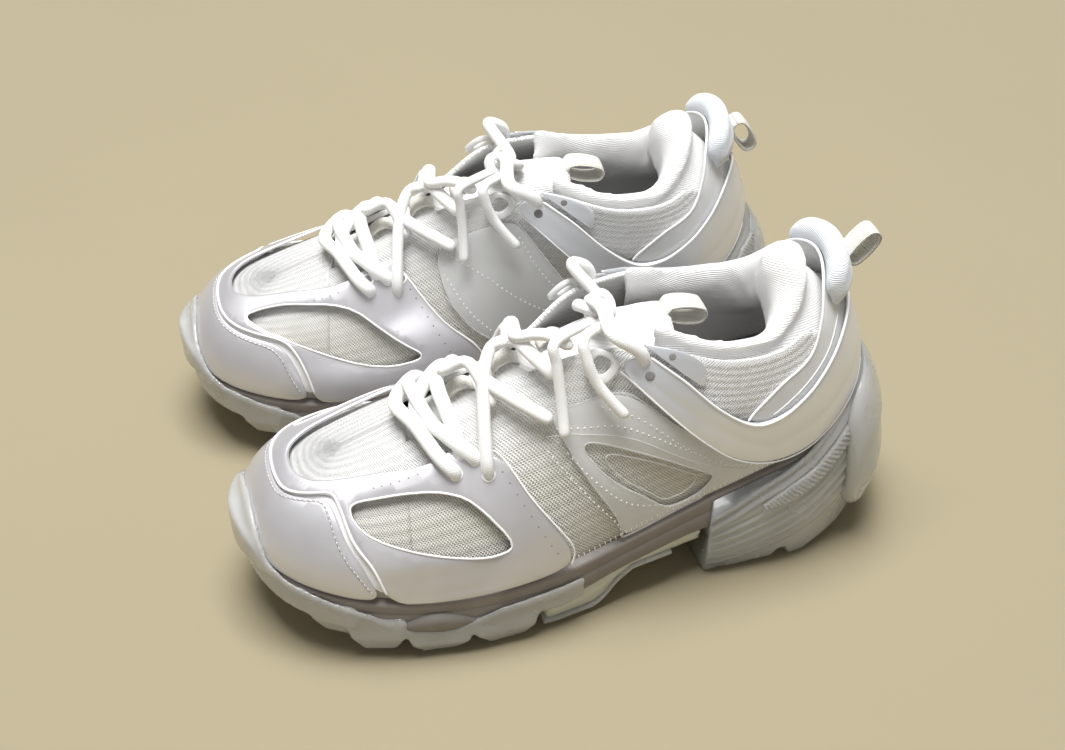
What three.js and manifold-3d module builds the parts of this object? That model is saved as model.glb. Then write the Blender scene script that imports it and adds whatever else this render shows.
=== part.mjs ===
// A pair of low-cut layered trainers: a moulded rubber and foam bottom unit, a mesh upper under
// film and cage overlays, a padded collar and tongue, webbing pull loops and tied laces.
// Millimetres. +Z is up, the toes point along -X, and the pair stands on the plane Z = 0.
// One shoe is built in its own frame, with its outer side towards -Y, and placed twice: the left
// shoe as it is, and the right shoe mirrored.
import * as THREE from "three";
import { mergeVertices } from "three/addons/utils/BufferGeometryUtils.js";
import Module from "manifold-3d";

const wasm = await Module();
wasm.setup();

// ---------- driving dimensions ----------
const GAP = 0.4; // clearance between touching pieces
const MESH = 2.2; // thickness of the inner mesh
const MESH_TOP = -0.6; // the mesh lies this far under the shoe's surface
const FILM = 1.0; // thickness of the clear overlays
const CAGE = 1.5; // thickness of the white moulded overlays
const TOE_CAP = 2.2; // thickness of the toe cap
const STAY = 1.2; // thickness of the eyelet stays
const WEBBING = 1.4; // thickness of the pull loops
const LACE = 5.2; // lace diameter
const PLACES = {
  left: { x: 0.6, y: -62.7, yaw: 0.6, mirror: 1, laceSide: 1, loopTilt: 50 },
  right: { x: -9.4, y: 60.3, yaw: -3.6, mirror: -1, laceSide: -1, loopTilt: -60 },
};

// Thirteen stations from the toe (0) to the back of the heel (12). Each holds the point where the
// upper meets the midsole on both sides, the top of the upper, and the shape of the wall between:
// foot x, outer y, inner y, foot z, top x, top half width, top z, arch, bulge, fullness.
const STATIONS = [
  [-141.5, 0, 0, 43, -98, 0, 76, 1.0, 0, 1.1],
  [-137, -21, 21, 42, -97, 0, 76, 1.0, 1, 1.1],
  [-124.5, -38, 36, 39, -95, 0, 77, 1.0, 1, 1.1],
  [-104, -50, 45, 35, -86, 0, 81, 1.0, 1, 1.15],
  [-78, -57, 49, 32, -69, 0, 88, 1.0, 1, 1.2],
  [-48, -60, 48, 32, -46, 0, 100, 1.0, 0, 1.3],
  [-16, -58, 44, 34, -20, 0, 114, 0.95, 0, 1.3],
  [16, -52, 39, 39, 8, 16, 128, 0.6, 2, 1.2],
  [47, -47, 36, 46, 36, 27, 125, 0.25, 3, 1.0],
  [77, -44, 37, 54, 66, 33, 116, 0.1, 3, 1.0],
  [105, -40, 36, 61, 93, 31, 117, 0.1, 3, 1.0],
  [128, -26, 24, 69, 110, 20, 130, 0.1, 3, 1.0],
  [138, 0, 0, 71, 116, 0, 138, 0.1, 3, 1.0],
];
const HEEL = STATIONS.length - 1;
const RING = 2 * HEEL; // the stations run down the outer side and back up the inner side

// The bottom unit at the same stations: underside of the midsole, then height and overhang of the
// rubber at its rim, its belly and its underside.
const SOLE = [
  [30, 55, 3.5, 42, 7, 27, 1],
  [28, 48, 3.5, 38, 7, 22, 2],
  [24, 34, 4, 27, 6, 16, 3],
  [20, 26, 5, 19, 6, 11, 4],
  [17, 23, 5, 16, 6, 9, 4],
  [17, 25, 5, 17, 6, 9, 4],
  [19, 30, 5, 20, 6, 11, 4],
  [23, 33, 4, 22, 5, 13, 3],
  [27, 37, 5, 24, 6, 8, 4],
  [32, 45, 6, 30, 9, 8, 6],
  [36, 54, 7, 36, 13, 8, 8],
  [40, 63, 9, 38, 18, 9, 8],
  [42, 67, 12, 38, 19, 12, 5],
];

// ---------- the shoe's surface ----------
const vec = (x, y, z) => new THREE.Vector3(x, y, z);

// A closed curve through one point per station, down the outer side and back up the inner side.
function ringCurve(point) {
  const outer = STATIONS.map((row, i) => point(row, i, 1));
  const inner = STATIONS.slice(1, HEEL).map((row, i) => point(row, i + 1, -1));
  return new THREE.CatmullRomCurve3([...outer, ...inner.reverse()], true, "catmullrom", 0.5);
}
const footCurve = ringCurve((r, i, side) => vec(r[0], side > 0 ? r[1] : r[2], r[3]));
const topCurve = ringCurve((r, i, side) => vec(r[4], -side * r[5], r[6]));
const formCurve = ringCurve((r) => vec(r[7], r[8], r[9]));
const soleCurve = ringCurve((r, i) => vec(SOLE[i][0], 0, 0));
const rimCurve = ringCurve((r, i) => vec(SOLE[i][1], SOLE[i][2], 0));
const bellyCurve = ringCurve((r, i) => vec(SOLE[i][3], SOLE[i][4], 0));
const plateCurve = ringCurve((r, i) => vec(SOLE[i][5], SOLE[i][6], 0));
const at = (curve, k) => curve.getPoint((((k % RING) + RING) % RING) / RING);

// The upper's surface: k is the station, positive on the outer side and negative on the inner
// side, and h runs from 0 at the midsole to 1 at the ridge or the collar.
function surface(k, h) {
  const foot = at(footCurve, k);
  const top = at(topCurve, k);
  const { x: arch, y: bulge, z: fullness } = at(formCurve, k);
  const turn = (Math.min(Math.max(h, 0), 1) * Math.PI) / 2;
  const inward = arch * (1 - Math.cos(turn) ** fullness) + (1 - arch) * Math.max(h, 0) ** 1.6;
  const upward = arch * Math.sin(turn) ** fullness + (1 - arch) * h;
  const run = vec(top.x - foot.x, top.y - foot.y, 0);
  const swell = bulge * Math.sin(Math.PI * Math.min(Math.max(h, 0), 1));
  const point = foot.clone().addScaledVector(run, inward);
  point.addScaledVector(run.normalize(), -swell);
  point.z = foot.z + (top.z - foot.z) * upward;
  return point;
}

function surfaceNormal(k, h) {
  const step = 0.02;
  const low = Math.min(Math.max(h, 0), 0.97);
  const along = surface(k + step, low).sub(surface(k - step, low));
  const up = surface(k, low + step).sub(surface(k, low - step));
  return along.cross(up).normalize();
}
const offsetPoint = (k, h, d) => surface(k, h).addScaledVector(surfaceNormal(k, h), d);

// Outward direction in plan at a station.
function outward(k) {
  const tangent = at(footCurve, k + 0.05).sub(at(footCurve, k - 0.05));
  return vec(tangent.y, -tangent.x, 0).normalize();
}

// ---------- solids ----------
function geometryOf(points, faces) {
  const position = new Float32Array(points.flatMap((p) => [p.x, p.y, p.z]));
  const geometry = new THREE.BufferGeometry();
  geometry.setAttribute("position", new THREE.BufferAttribute(position, 3));
  geometry.setIndex(faces.flat());
  return geometry;
}

function toSolid(geometry) {
  const bare = geometry.clone();
  bare.deleteAttribute("normal");
  bare.deleteAttribute("uv");
  const merged = mergeVertices(bare, 1e-3);
  return new wasm.Manifold(
    new wasm.Mesh({
      numProp: 3,
      vertProperties: merged.attributes.position.array,
      triVerts: new Uint32Array(merged.index.array),
    }),
  );
}

function fromSolid(solid) {
  const mesh = solid.getMesh();
  const geometry = new THREE.BufferGeometry();
  const position = new THREE.BufferAttribute(new Float32Array(mesh.vertProperties), 3);
  geometry.setAttribute("position", position);
  geometry.setIndex(new THREE.BufferAttribute(mesh.triVerts, 1));
  return geometry;
}

// The largest body of a solid, so that a cut leaves no loose crumbs.
const mainBody = (solid) => solid.decompose().sort((a, b) => b.volume() - a.volume())[0];

// Rounds the corners of a closed outline by cutting them once per round.
function rounded(outline, rounds = 1) {
  let points = outline;
  for (let r = 0; r < rounds; r++) {
    points = points.flatMap((p, i) => {
      const q = points[(i + 1) % points.length];
      const part = (t) => [p[0] + (q[0] - p[0]) * t, p[1] + (q[1] - p[1]) * t];
      return [part(0.25), part(0.75)];
    });
  }
  return points;
}

// Splits triangles of a flat outline until each edge follows the surface within the tolerance.
function refine(points, faces, place, tolerance) {
  for (let pass = 0; pass < 6; pass++) {
    const middles = new Map();
    const middle = (a, b) => {
      const key = a < b ? `${a},${b}` : `${b},${a}`;
      if (!middles.has(key)) {
        const mid = [(points[a][0] + points[b][0]) / 2, (points[a][1] + points[b][1]) / 2];
        const [start, end] = [place(...points[a]), place(...points[b])];
        const strays = [0.25, 0.5, 0.75].some((t) => {
          const flat = points[a].map((value, i) => value + (points[b][i] - value) * t);
          return start.clone().lerp(end, t).distanceTo(place(...flat)) > tolerance;
        });
        middles.set(key, strays ? points.push(mid) - 1 : -1);
      }
      return middles.get(key);
    };
    const next = [];
    for (const [a, b, c] of faces) {
      const [ab, bc, ca] = [middle(a, b), middle(b, c), middle(c, a)];
      const split = [ab, bc, ca].filter((m) => m >= 0).length;
      if (split === 0) next.push([a, b, c]);
      else if (split === 3) next.push([a, ab, ca], [ab, b, bc], [ca, bc, c], [ab, bc, ca]);
      else {
        // turn the triangle so that its whole edge, or its one split edge, comes first
        let t = [a, b, c];
        let m = [ab, bc, ca];
        const wanted = (x) => (split === 1 ? x[0] >= 0 : x[0] < 0);
        while (!wanted(m)) {
          t = [t[1], t[2], t[0]];
          m = [m[1], m[2], m[0]];
        }
        if (split === 1) next.push([t[0], m[0], t[2]], [m[0], t[1], t[2]]);
        else next.push([t[0], t[1], m[1]], [t[0], m[1], m[2]], [m[1], t[2], m[2]]);
      }
    }
    if (next.length === faces.length) break;
    faces = next;
  }
  return faces;
}

// Closes a sheet into a solid: outer and inner points share the sheet's faces, and walls join
// them round every free edge.
function thicken(outer, inner, faces) {
  const n = outer.length;
  const used = new Set(faces.flatMap(([a, b, c]) => [`${a},${b}`, `${b},${c}`, `${c},${a}`]));
  const solid = faces.flatMap(([a, b, c]) => [
    [a, b, c],
    [a + n, c + n, b + n],
  ]);
  for (const [a, b, c] of faces) {
    for (const [p, q] of [
      [a, b],
      [b, c],
      [c, a],
    ]) {
      if (!used.has(`${q},${p}`)) solid.push([q, p, p + n], [q, p + n, q + n]);
    }
  }
  return geometryOf([...outer, ...inner], solid);
}

// A piece cut to an outline in (k, h) and wrapped on the upper, from low to high above it.
function wrap(outline, low, high, { holes = [], tolerance = 0.75, rounds = 0 } = {}) {
  const flat = (list) => rounded(list, rounds).map(([k, h]) => new THREE.Vector2(k, h));
  let contour = flat(outline);
  if (THREE.ShapeUtils.isClockWise(contour)) contour = contour.reverse();
  const cuts = holes.map((hole) => {
    const loop = flat(hole);
    return THREE.ShapeUtils.isClockWise(loop) ? loop : loop.reverse();
  });
  const points = [contour, ...cuts].flat().map((p) => [p.x, p.y]);
  let faces = THREE.ShapeUtils.triangulateShape(contour, cuts);
  faces = refine(points, faces, (k, h) => offsetPoint(k, h, high), tolerance);
  const outer = points.map(([k, h]) => offsetPoint(k, h, high));
  const inner = points.map(([k, h]) => offsetPoint(k, h, low));
  return thicken(outer, inner, faces);
}

// A closed solid from a grid of points: rows x columns on its outer side and the same inside.
function sheetSolid(rows, columns, outerAt, innerAt) {
  const outer = [];
  const inner = [];
  const faces = [];
  for (let i = 0; i <= rows; i++) {
    for (let j = 0; j <= columns; j++) {
      outer.push(outerAt(i / rows, j / columns));
      inner.push(innerAt(i / rows, j / columns));
      if (i < rows && j < columns) {
        const a = i * (columns + 1) + j;
        const b = a + columns + 1;
        faces.push([a, b, b + 1], [a, b + 1, a + 1]);
      }
    }
  }
  return thicken(outer, inner, faces);
}

// A slab stacked from levels, top first. Each level gives its height and its margin outside the
// foot outline, both as functions of the station.
function slab(levels, per = 2) {
  const count = RING * per;
  const points = levels.flatMap(({ z, margin }) =>
    Array.from({ length: count }, (_, i) => {
      const k = i / per;
      return at(footCurve, k).addScaledVector(outward(k), margin(k)).setZ(z(k));
    }),
  );
  const faces = [];
  for (let row = 1; row < levels.length; row++) {
    for (let i = 0; i < count; i++) {
      const [a, b] = [(row - 1) * count + i, (row - 1) * count + ((i + 1) % count)];
      faces.push([a, a + count, b + count], [a, b + count, b]);
    }
  }
  const under = (levels.length - 1) * count;
  for (let i = 0; i < count / 2; i++) {
    const [a, b] = [i, i + 1];
    const [c, d] = [(count - i) % count, (count - i - 1) % count];
    if (b !== d) faces.push([a, b, d], [a + under, d + under, b + under]);
    if (a !== c) faces.push([a, d, c], [a + under, c + under, d + under]);
  }
  return geometryOf(points, faces);
}

// A solid through a row of closed rings, capped flat at both ends.
function loft(rings) {
  const n = rings[0].length;
  const last = (rings.length - 1) * n;
  const faces = [];
  for (let i = 0; i < rings.length - 1; i++) {
    for (let j = 0; j < n; j++) {
      const [a, b] = [i * n + j, i * n + ((j + 1) % n)];
      faces.push([a, a + n, b + n], [a, b + n, b]);
    }
  }
  faces.push(...capFaces(rings[0]));
  faces.push(...capFaces(rings[rings.length - 1]).map(([a, b, c]) => [last + a, last + c, last + b]));
  return geometryOf(rings.flat(), faces);
}

// Triangles that close an upright ring of points, in the ring's own direction.
function capFaces(ring) {
  const origin = ring[0];
  const far = ring.reduce((best, p) => (p.distanceTo(origin) > best.distanceTo(origin) ? p : best));
  const side = far.clone().sub(origin).setZ(0).normalize();
  const flat = ring.map((p) => new THREE.Vector2(p.clone().sub(origin).dot(side), p.z));
  const faces = THREE.ShapeUtils.triangulateShape(flat, []);
  return THREE.ShapeUtils.isClockWise(flat) ? faces.map(([a, b, c]) => [a, c, b]) : faces;
}

function box(x0, x1, y0, y1, z0, z1) {
  const geometry = new THREE.BoxGeometry(x1 - x0, y1 - y0, z1 - z0);
  return geometry.translate((x0 + x1) / 2, (y0 + y1) / 2, (z0 + z1) / 2);
}

// A round cord of the lace's thickness through a list of points.
function cord(points, steps, diameter = LACE) {
  const section = new THREE.Shape().absarc(0, 0, diameter / 2, 0, 2 * Math.PI);
  const path = new THREE.CatmullRomCurve3(points, false, "catmullrom", 0.5);
  return new THREE.ExtrudeGeometry(section, { steps, extrudePath: path, curveSegments: 4 });
}

// A shape seen from the side, in x and z, with its width along y.
function band(shape, width) {
  const options = { depth: width, curveSegments: 5, bevelEnabled: false };
  return new THREE.ExtrudeGeometry(shape, options).rotateX(Math.PI / 2).translate(0, width / 2, 0);
}

// ---------- bottom unit ----------
const footZ = (k) => at(footCurve, k).z;
const midsoleZ = (k) => at(soleCurve, k).x;
const MIDSOLE_MARGIN = 2.5;
const level = (z, margin) => ({ z, margin: typeof margin === "number" ? () => margin : margin });
const ofCurve = (curve) => level((k) => at(curve, k).x, (k) => at(curve, k).y);

const midsole = () =>
  slab([level((k) => footZ(k) - GAP, MIDSOLE_MARGIN), level(midsoleZ, MIDSOLE_MARGIN)]);

const ROOM = { width: 180, low: -5, high: 210 }; // a space that is larger than any bottom unit

// The rubber cup: a slab out to the rim, less the space that the midsole and upper stand in.
function rubberCup() {
  const whole = slab([rimCurve, bellyCurve, plateCurve].map(ofCurve));
  const inside = MIDSOLE_MARGIN + GAP;
  const well = slab([level(() => ROOM.high, inside), level((k) => midsoleZ(k) - GAP, inside)]);
  return toSolid(whole).subtract(toSolid(well));
}
const between = (solid, x0, x1) =>
  solid.intersect(toSolid(box(x0, x1, -ROOM.width / 2, ROOM.width / 2, ROOM.low, ROOM.high)));

const FOREFOOT_END = -20; // the rubber stops here, and the shank begins
const HEEL_START = 52;

// Tread blocks: x of the front edge, length, and clear height of the foot above the ground.
const LUGS = [
  [-137, 12, 15],
  [-120, 17, 7],
  [-98, 19, 2],
  [-74, 21, 0],
  [-48, 24, 0],
];

function outsoleForefoot() {
  let solid = between(rubberCup(), -ROOM.high, FOREFOOT_END);
  for (const [x, length, lift] of LUGS) {
    const middle = x + length / 2;
    const k = STATIONS.findIndex((row) => row[0] > middle);
    const [outer, inner] = [STATIONS[k][1] - 2, STATIONS[k][2] + 2];
    for (const [edge, centre] of [
      [outer, -12],
      [inner, 12],
    ]) {
      const [y0, y1] = [Math.min(edge, centre), Math.max(edge, centre)];
      solid = solid.add(toSolid(box(x, x + length, y0, y1, lift, SOLE[k][5] + 3)));
    }
  }
  return fromSolid(mainBody(solid));
}

// Heel pads: x of both ends, y of both sides, and clear height above the ground.
const PADS = [
  [HEEL_START, 92, -46, 40, 0],
  [98, 132, -38, 32, 1],
];
const PAD_TOP = 14;

function outsoleHeel() {
  let solid = between(rubberCup(), HEEL_START, ROOM.high);
  for (const [x0, x1, y0, y1, lift] of PADS) {
    solid = solid.add(toSolid(box(x0, x1, y0, y1, lift, PAD_TOP)));
  }
  return fromSolid(mainBody(solid));
}

// The shank bridges the arch between the two rubber units.
const SHANK = { thickness: 9, margin: -2 };
function shank() {
  const { thickness, margin } = SHANK;
  const solid = slab([
    level((k) => midsoleZ(k) - GAP, margin),
    level((k) => midsoleZ(k) - thickness, margin),
  ]);
  return fromSolid(between(toSolid(solid), FOREFOOT_END + GAP, HEEL_START - GAP));
}

const BOARD_MARGIN = MESH_TOP - MESH - 0.9;
const insoleBoard = () =>
  slab([level((k) => footZ(k) + 2.4, BOARD_MARGIN), level(footZ, BOARD_MARGIN)], 1);
const SOCKLINER_MARGIN = -9;
const sockliner = () =>
  slab([level((k) => footZ(k) + 6.4, SOCKLINER_MARGIN), level((k) => footZ(k) + 2.8, SOCKLINER_MARGIN)], 1);

// The fender: a fin of clear rubber that rises behind the heel strap.
const FENDER_LOW = CAGE + 4.2;
const FENDER = 5.3; // thickness
const heelFender = () =>
  wrap(
    [
      [10.9, 0.02],
      [13.1, 0.02],
      [12.8, 0.24],
      [12.0, 0.3],
      [11.2, 0.24],
    ],
    FENDER_LOW,
    FENDER_LOW + FENDER,
  );

// ---------- upper ----------
// The mesh is cut as a vamp over the toes and a quarter on each side. The vamp crosses the ridge.
function acrossRidge(k, u, edge, d) {
  const h = 1 - Math.abs(u) * (1 - edge);
  const side = u < 0 ? 1 : -1;
  if (u === 0) return offsetPoint(k, 1, d).add(offsetPoint(-k, 1, d)).multiplyScalar(0.5);
  return offsetPoint(side * k, h, d);
}
const VAMP_END = 3.9;

function vampMesh() {
  const rows = 7;
  const columns = 5;
  const names = new Map(); // both sides share their points on the ridge
  const spots = [];
  const spot = (i, j) => {
    const name = `${j === columns ? Math.abs(i) : i},${j}`;
    if (!names.has(name)) {
      names.set(name, spots.length);
      spots.push([(VAMP_END * i) / rows, j / columns]);
    }
    return names.get(name);
  };
  const faces = [];
  for (let i = -rows; i < rows; i++) {
    for (let j = 0; j < columns; j++) {
      const [a, b, c, d] = [spot(i, j), spot(i + 1, j), spot(i + 1, j + 1), spot(i, j + 1)];
      faces.push([a, b, c], [a, c, d]);
    }
  }
  const place = (d) => ([k, h]) => (h === 1 ? acrossRidge(k, 0, 0, d) : offsetPoint(k, h + 0.02, d));
  return thicken(spots.map(place(MESH_TOP)), spots.map(place(MESH_TOP - MESH)), faces);
}

// Height of the quarter's free edge along the shoe: the lace throat, the ankle and the heel.
const QUARTER_EDGE = [
  [VAMP_END, 0.8],
  [6, 0.8],
  [7.2, 0.9],
  [7.9, 0.96],
  [10.3, 0.96],
  [11, 0.7],
  [HEEL, 0.66],
];

function along(table, k) {
  const i = Math.max(1, table.findIndex(([x]) => x >= k));
  const [[k0, v0], [k1, v1]] = [table[i - 1], table[i]];
  return v0 + ((v1 - v0) * (k - k0)) / (k1 - k0);
}

function quarterMesh(side) {
  const [start, end] = [VAMP_END + 0.05, HEEL - 0.04];
  const place = (d) => (i, j) => {
    const k = start + (end - start) * (side > 0 ? i : 1 - i);
    return offsetPoint(side * k, 0.02 + (along(QUARTER_EDGE, k) - 0.02) * j, d);
  };
  return sheetSolid(14, 5, place(MESH_TOP), place(MESH_TOP - MESH));
}

// Outlines of the overlays, in station and height. The toe cap and the cage meet at a seam.
const SEAM = [
  [3.5, 0.02],
  [3.27, 0.23],
  [2.95, 0.36],
  [2.65, 0.52],
  [2.36, 0.6],
  [1.8, 0.59],
  [0.95, 0.54],
  [0.3, 0.53],
  [-0.5, 0.52],
  [-1.3, 0.49],
  [-2.3, 0.45],
  [-2.95, 0.41],
  [-3.25, 0.34],
  [-3.46, 0.22],
  [-3.62, 0.02],
];
const toeCap = () => wrap([...SEAM, [-2, 0.02], [0, 0.02], [2, 0.02]], GAP, GAP + TOE_CAP);

const CAGE_LOW = 2 * GAP + FILM;
const CENTRAL_WINDOW = [
  [4.39, 0.64],
  [3.5, 0.69],
  [2.37, 0.7],
  [1.38, 0.68],
  [0.4, 0.66],
  [-0.5, 0.66],
  [-1.5, 0.72],
  [-2.4, 0.73],
  [-3.3, 0.71],
  [-4.2, 0.66],
];
const OUTER_WINDOW = [
  [2.92, 0.57],
  [3.84, 0.57],
  [4.45, 0.53],
  [4.96, 0.45],
  [5.49, 0.23],
  [5.06, 0.22],
  [4.35, 0.28],
  [3.39, 0.39],
  [3.0, 0.48],
];
const INNER_WINDOW = [
  [1.9, 0.57],
  [2.4, 0.63],
  [3.14, 0.64],
  [4.3, 0.56],
  [5.09, 0.32],
  [5.6, 0.19],
  [4.81, 0.2],
  [3.6, 0.38],
  [2.6, 0.49],
].map(([k, h]) => [-k, h]);

// The cage follows the seam, runs back along both sides of the throat and down to the midsole.
function forefootCage() {
  const seam = SEAM.map(([k, h]) => [k * 1.02 + (k > 0 ? 0.04 : -0.04), h + 0.02]);
  seam[0] = [3.62, 0.02];
  seam[SEAM.length - 1] = [-3.74, 0.02];
  const outerArm = [
    [4.75, 0.66],
    [5.07, 0.58],
    [5.4, 0.57],
    [5.75, 0.38],
    [6.2, 0.15],
    [6.15, 0.03],
    [5, 0.02],
    [4.3, 0.02],
  ];
  const innerArm = [
    [-4.3, 0.02],
    [-5.5, 0.02],
    [-6.5, 0.04],
    [-6.3, 0.18],
    [-5.81, 0.35],
    [-5.36, 0.58],
    [-5.24, 0.67],
    [-4.8, 0.68],
  ];
  const outline = [...seam, ...innerArm, ...[...CENTRAL_WINDOW].reverse(), ...outerArm];
  return wrap(outline, CAGE_LOW, CAGE_LOW + CAGE, {
    holes: [OUTER_WINDOW, INNER_WINDOW],
    rounds: 1,
    tolerance: 1.1,
  });
}

const OUTER_WING = [
  [6.02, 0.6],
  [6.47, 0.57],
  [7.25, 0.76],
  [7.7, 0.6],
  [8.3, 0.38],
  [9.2, 0.1],
  [9.4, 0.03],
  [8.2, 0.03],
  [6.5, 0.03],
  [6.3, 0.06],
  [6.35, 0.16],
  [5.9, 0.4],
];
const OUTER_SLOTS = [
  [
    [6.66, 0.49],
    [7.0, 0.43],
    [7.9, 0.27],
    [8.6, 0.13],
    [8.3, 0.09],
    [7.46, 0.22],
    [6.93, 0.35],
  ],
];
const INNER_WING = [
  [5.9, 0.62],
  [6.6, 0.66],
  [7.2, 0.72],
  [7.55, 0.5],
  [7.95, 0.27],
  [8.5, 0.06],
  [8.0, 0.03],
  [6.72, 0.03],
  [6.68, 0.12],
  [6.3, 0.25],
  [5.95, 0.42],
].map(([k, h]) => [-k, h]);

const outerWing = () => wrap(OUTER_WING, GAP, GAP + FILM, { holes: OUTER_SLOTS });
const innerWing = () => wrap(INNER_WING, GAP, GAP + FILM);

// The ankle straps run from the top eyelets down under the ankle and up to the heel.
const STRAP_LOW = GAP + FILM + 2 * GAP;
const OUTER_STRAP = [
  [7.25, 0.79],
  [7.7, 0.61],
  [8.21, 0.41],
  [8.7, 0.24],
  [9.29, 0.1],
  [9.9, 0.08],
  [10.6, 0.16],
  [11.3, 0.3],
  [11.9, 0.34],
  [11.9, 0.68],
  [11.1, 0.72],
  [10.42, 0.65],
  [9.9, 0.57],
  [9.4, 0.48],
  [8.98, 0.48],
  [8.5, 0.62],
  [8.1, 0.79],
  [7.75, 0.9],
  [7.47, 0.88],
];
const outerStrap = () => wrap(OUTER_STRAP, STRAP_LOW, STRAP_LOW + CAGE);
const innerStrap = () =>
  wrap(
    OUTER_STRAP.map(([k, h]) => [-k, h]),
    STRAP_LOW,
    STRAP_LOW + CAGE,
  );

// The eyelet stays carry the topmost eyelets above each strap.
const eyestay = (side) =>
  wrap(
    [
      [7.62, 0.98],
      [8.6, 0.97],
      [8.42, 0.74],
      [8.22, 0.8],
      [7.8, 0.95],
    ].map(([k, h]) => [side * k, h]),
    GAP,
    GAP + STAY,
  );

// The clear blade rises round the heel between the straps and the heel tab.
const BLADE_EDGE = [
  [8.9, 0.5],
  [9.1, 0.58],
  [9.64, 0.73],
  [10.26, 0.8],
  [10.7, 0.9],
  [11.2, 0.99],
];
const BLADE_FOOT = [
  [11.2, 0.62],
  [10.4, 0.58],
  [9.9, 0.5],
  [9.3, 0.42],
];
function heelBlade() {
  const mirrored = (list) => list.map(([k, h]) => [RING - k, h]).reverse();
  const outline = [...BLADE_EDGE, [HEEL, 1], ...mirrored(BLADE_EDGE)];
  outline.push(...mirrored(BLADE_FOOT), [HEEL, 0.62], ...BLADE_FOOT);
  return wrap(outline, GAP, GAP + FILM);
}

// ---------- padding ----------
// A point beside the collar's edge: a is outward and b is upward from it.
const besideRim = (k, a, b) =>
  at(topCurve, k).addScaledVector(outward(k), a).add(vec(0, 0, b));

// The collar: a roll round the opening, with a lining that reaches down to the sockliner.
const COLLAR_START = 8;
function collarPadding() {
  const count = 20;
  const span = 2 * (HEEL - COLLAR_START);
  const rings = [];
  for (let i = 0; i <= count; i++) {
    const k = COLLAR_START + (span * i) / count;
    const rear = Math.max(0, 1 - Math.abs(k - HEEL) / 3); // 1 at the back of the heel
    const clear = MESH_TOP - MESH - GAP - 1.5 * rear;
    const depth = 6.5 + 13.5 * THREE.MathUtils.smoothstep(rear, 0.13, 0.73);
    const floor = footZ(k) + 9;
    rings.push([
      offsetPoint(k, 0.22, clear).setZ(floor),
      offsetPoint(k, 0.45, clear),
      offsetPoint(k, 0.75, clear),
      besideRim(k, clear - 0.6, -5),
      besideRim(k, clear - 0.6, 1 + rear),
      besideRim(k, clear - 3, 4 + rear),
      besideRim(k, clear - depth + 3, 4),
      besideRim(k, clear - depth, -2),
      besideRim(k, clear - depth + 1, -14),
      offsetPoint(k, 0.45, clear - 4),
      offsetPoint(k, 0.22, clear - 3.5).setZ(floor),
    ]);
  }
  return loft(rings);
}

// The heel tab: a padded roll that hugs the blade on top of the heel.
function heelTab() {
  const low = GAP + FILM + GAP;
  const rings = [];
  for (let i = 0; i <= 8; i++) {
    const t = i / 4 - 1;
    const k = HEEL + 1.05 * t;
    const full = Math.sqrt(1 - 0.55 * t ** 4); // the ends are rounded off
    const out = (d) => low + d * full;
    rings.push([
      offsetPoint(k, 0.74, low),
      offsetPoint(k, 0.9, low),
      besideRim(k, low, 1),
      besideRim(k, out(1.5), 6 * full),
      besideRim(k, out(4.5), 8.5 * full),
      besideRim(k, out(7.5), 6 * full),
      besideRim(k, out(8.4), 0),
      offsetPoint(k, 0.86, out(7)),
      offsetPoint(k, 0.78, out(4)),
      offsetPoint(k, 0.74, out(2)),
    ]);
  }
  return loft(rings.map((ring) => ring.reverse()));
}

// The tongue lies under the laces, and its top half bends on its own.
const TONGUE_LINE = new THREE.CatmullRomCurve3(
  [vec(-68, 0, 81), vec(-46, 0, 91), vec(-20, 0, 104), vec(2, 0, 113), vec(24, 0, 118), vec(46, 0, 121)],
  false,
  "catmullrom",
  0.5,
);
const TONGUE_HALF = [18, 21, 22, 19, 15, 13];
const TONGUE_DROP = [5, 8, 10, 9, 6, 4];
const TONGUE_BREAK = 0.66;

function tongue(from, to, thickness, rows) {
  const blend = (list, t) => {
    const f = Math.min(t * (list.length - 1), list.length - 1 - 1e-6);
    const i = Math.floor(f);
    return list[i] + (list[i + 1] - list[i]) * (f - i);
  };
  const place = (d) => (i, j) => {
    const t = from + (to - from) * i;
    const u = 2 * j - 1;
    const centre = TONGUE_LINE.getPoint(t);
    const up = TONGUE_LINE.getTangent(t);
    const normal = vec(-up.z, 0, up.x);
    const point = centre.addScaledVector(normal, d * (1 - 0.35 * u * u));
    point.y = blend(TONGUE_HALF, t) * (u > 0 ? 0.7 : 1) * u; // narrower on the inner side
    point.z -= blend(TONGUE_DROP, t) * u * u;
    return point;
  };
  return sheetSolid(rows, 6, place(thickness / 2), place(-thickness / 2));
}

// A ring of webbing seen from the side: two straight runs between round ends. The first end is
// centred on the origin, so the ring swings about it without moving away from its seat.
function loopShape(length, height) {
  const outline = (path, radius) => {
    const far = length - height;
    path.absarc(far, 0, radius, -Math.PI / 2, Math.PI / 2);
    path.absarc(0, 0, radius, Math.PI / 2, (Math.PI * 3) / 2);
    path.closePath();
    return path;
  };
  const shape = outline(new THREE.Shape(), height / 2);
  shape.holes.push(outline(new THREE.Path(), height / 2 - WEBBING));
  return shape;
}

// Each loop: centre of its seated end, then length, height, width and its tilt in degrees.
const TONGUE_LOOP = { x: 51.6, z: 119.4, length: 20, height: 9, width: 11, tilt: -14 };
const HEEL_LOOP = { x: 134.2, z: 133.5, length: 19, height: 8.6, width: 10 };
function loop({ x, z, length, height, width, tilt }) {
  const geometry = band(loopShape(length, height), width);
  return geometry.rotateY(-THREE.MathUtils.degToRad(tilt)).translate(x, 0, z);
}

// ---------- laces ----------
const EYELETS = {
  outer: [[4.5, 0.62], [5.3, 0.54], [7.55, 0.86]],
  inner: [[4.6, 0.68], [5.3, 0.62], [7.5, 0.86]],
};

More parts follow.
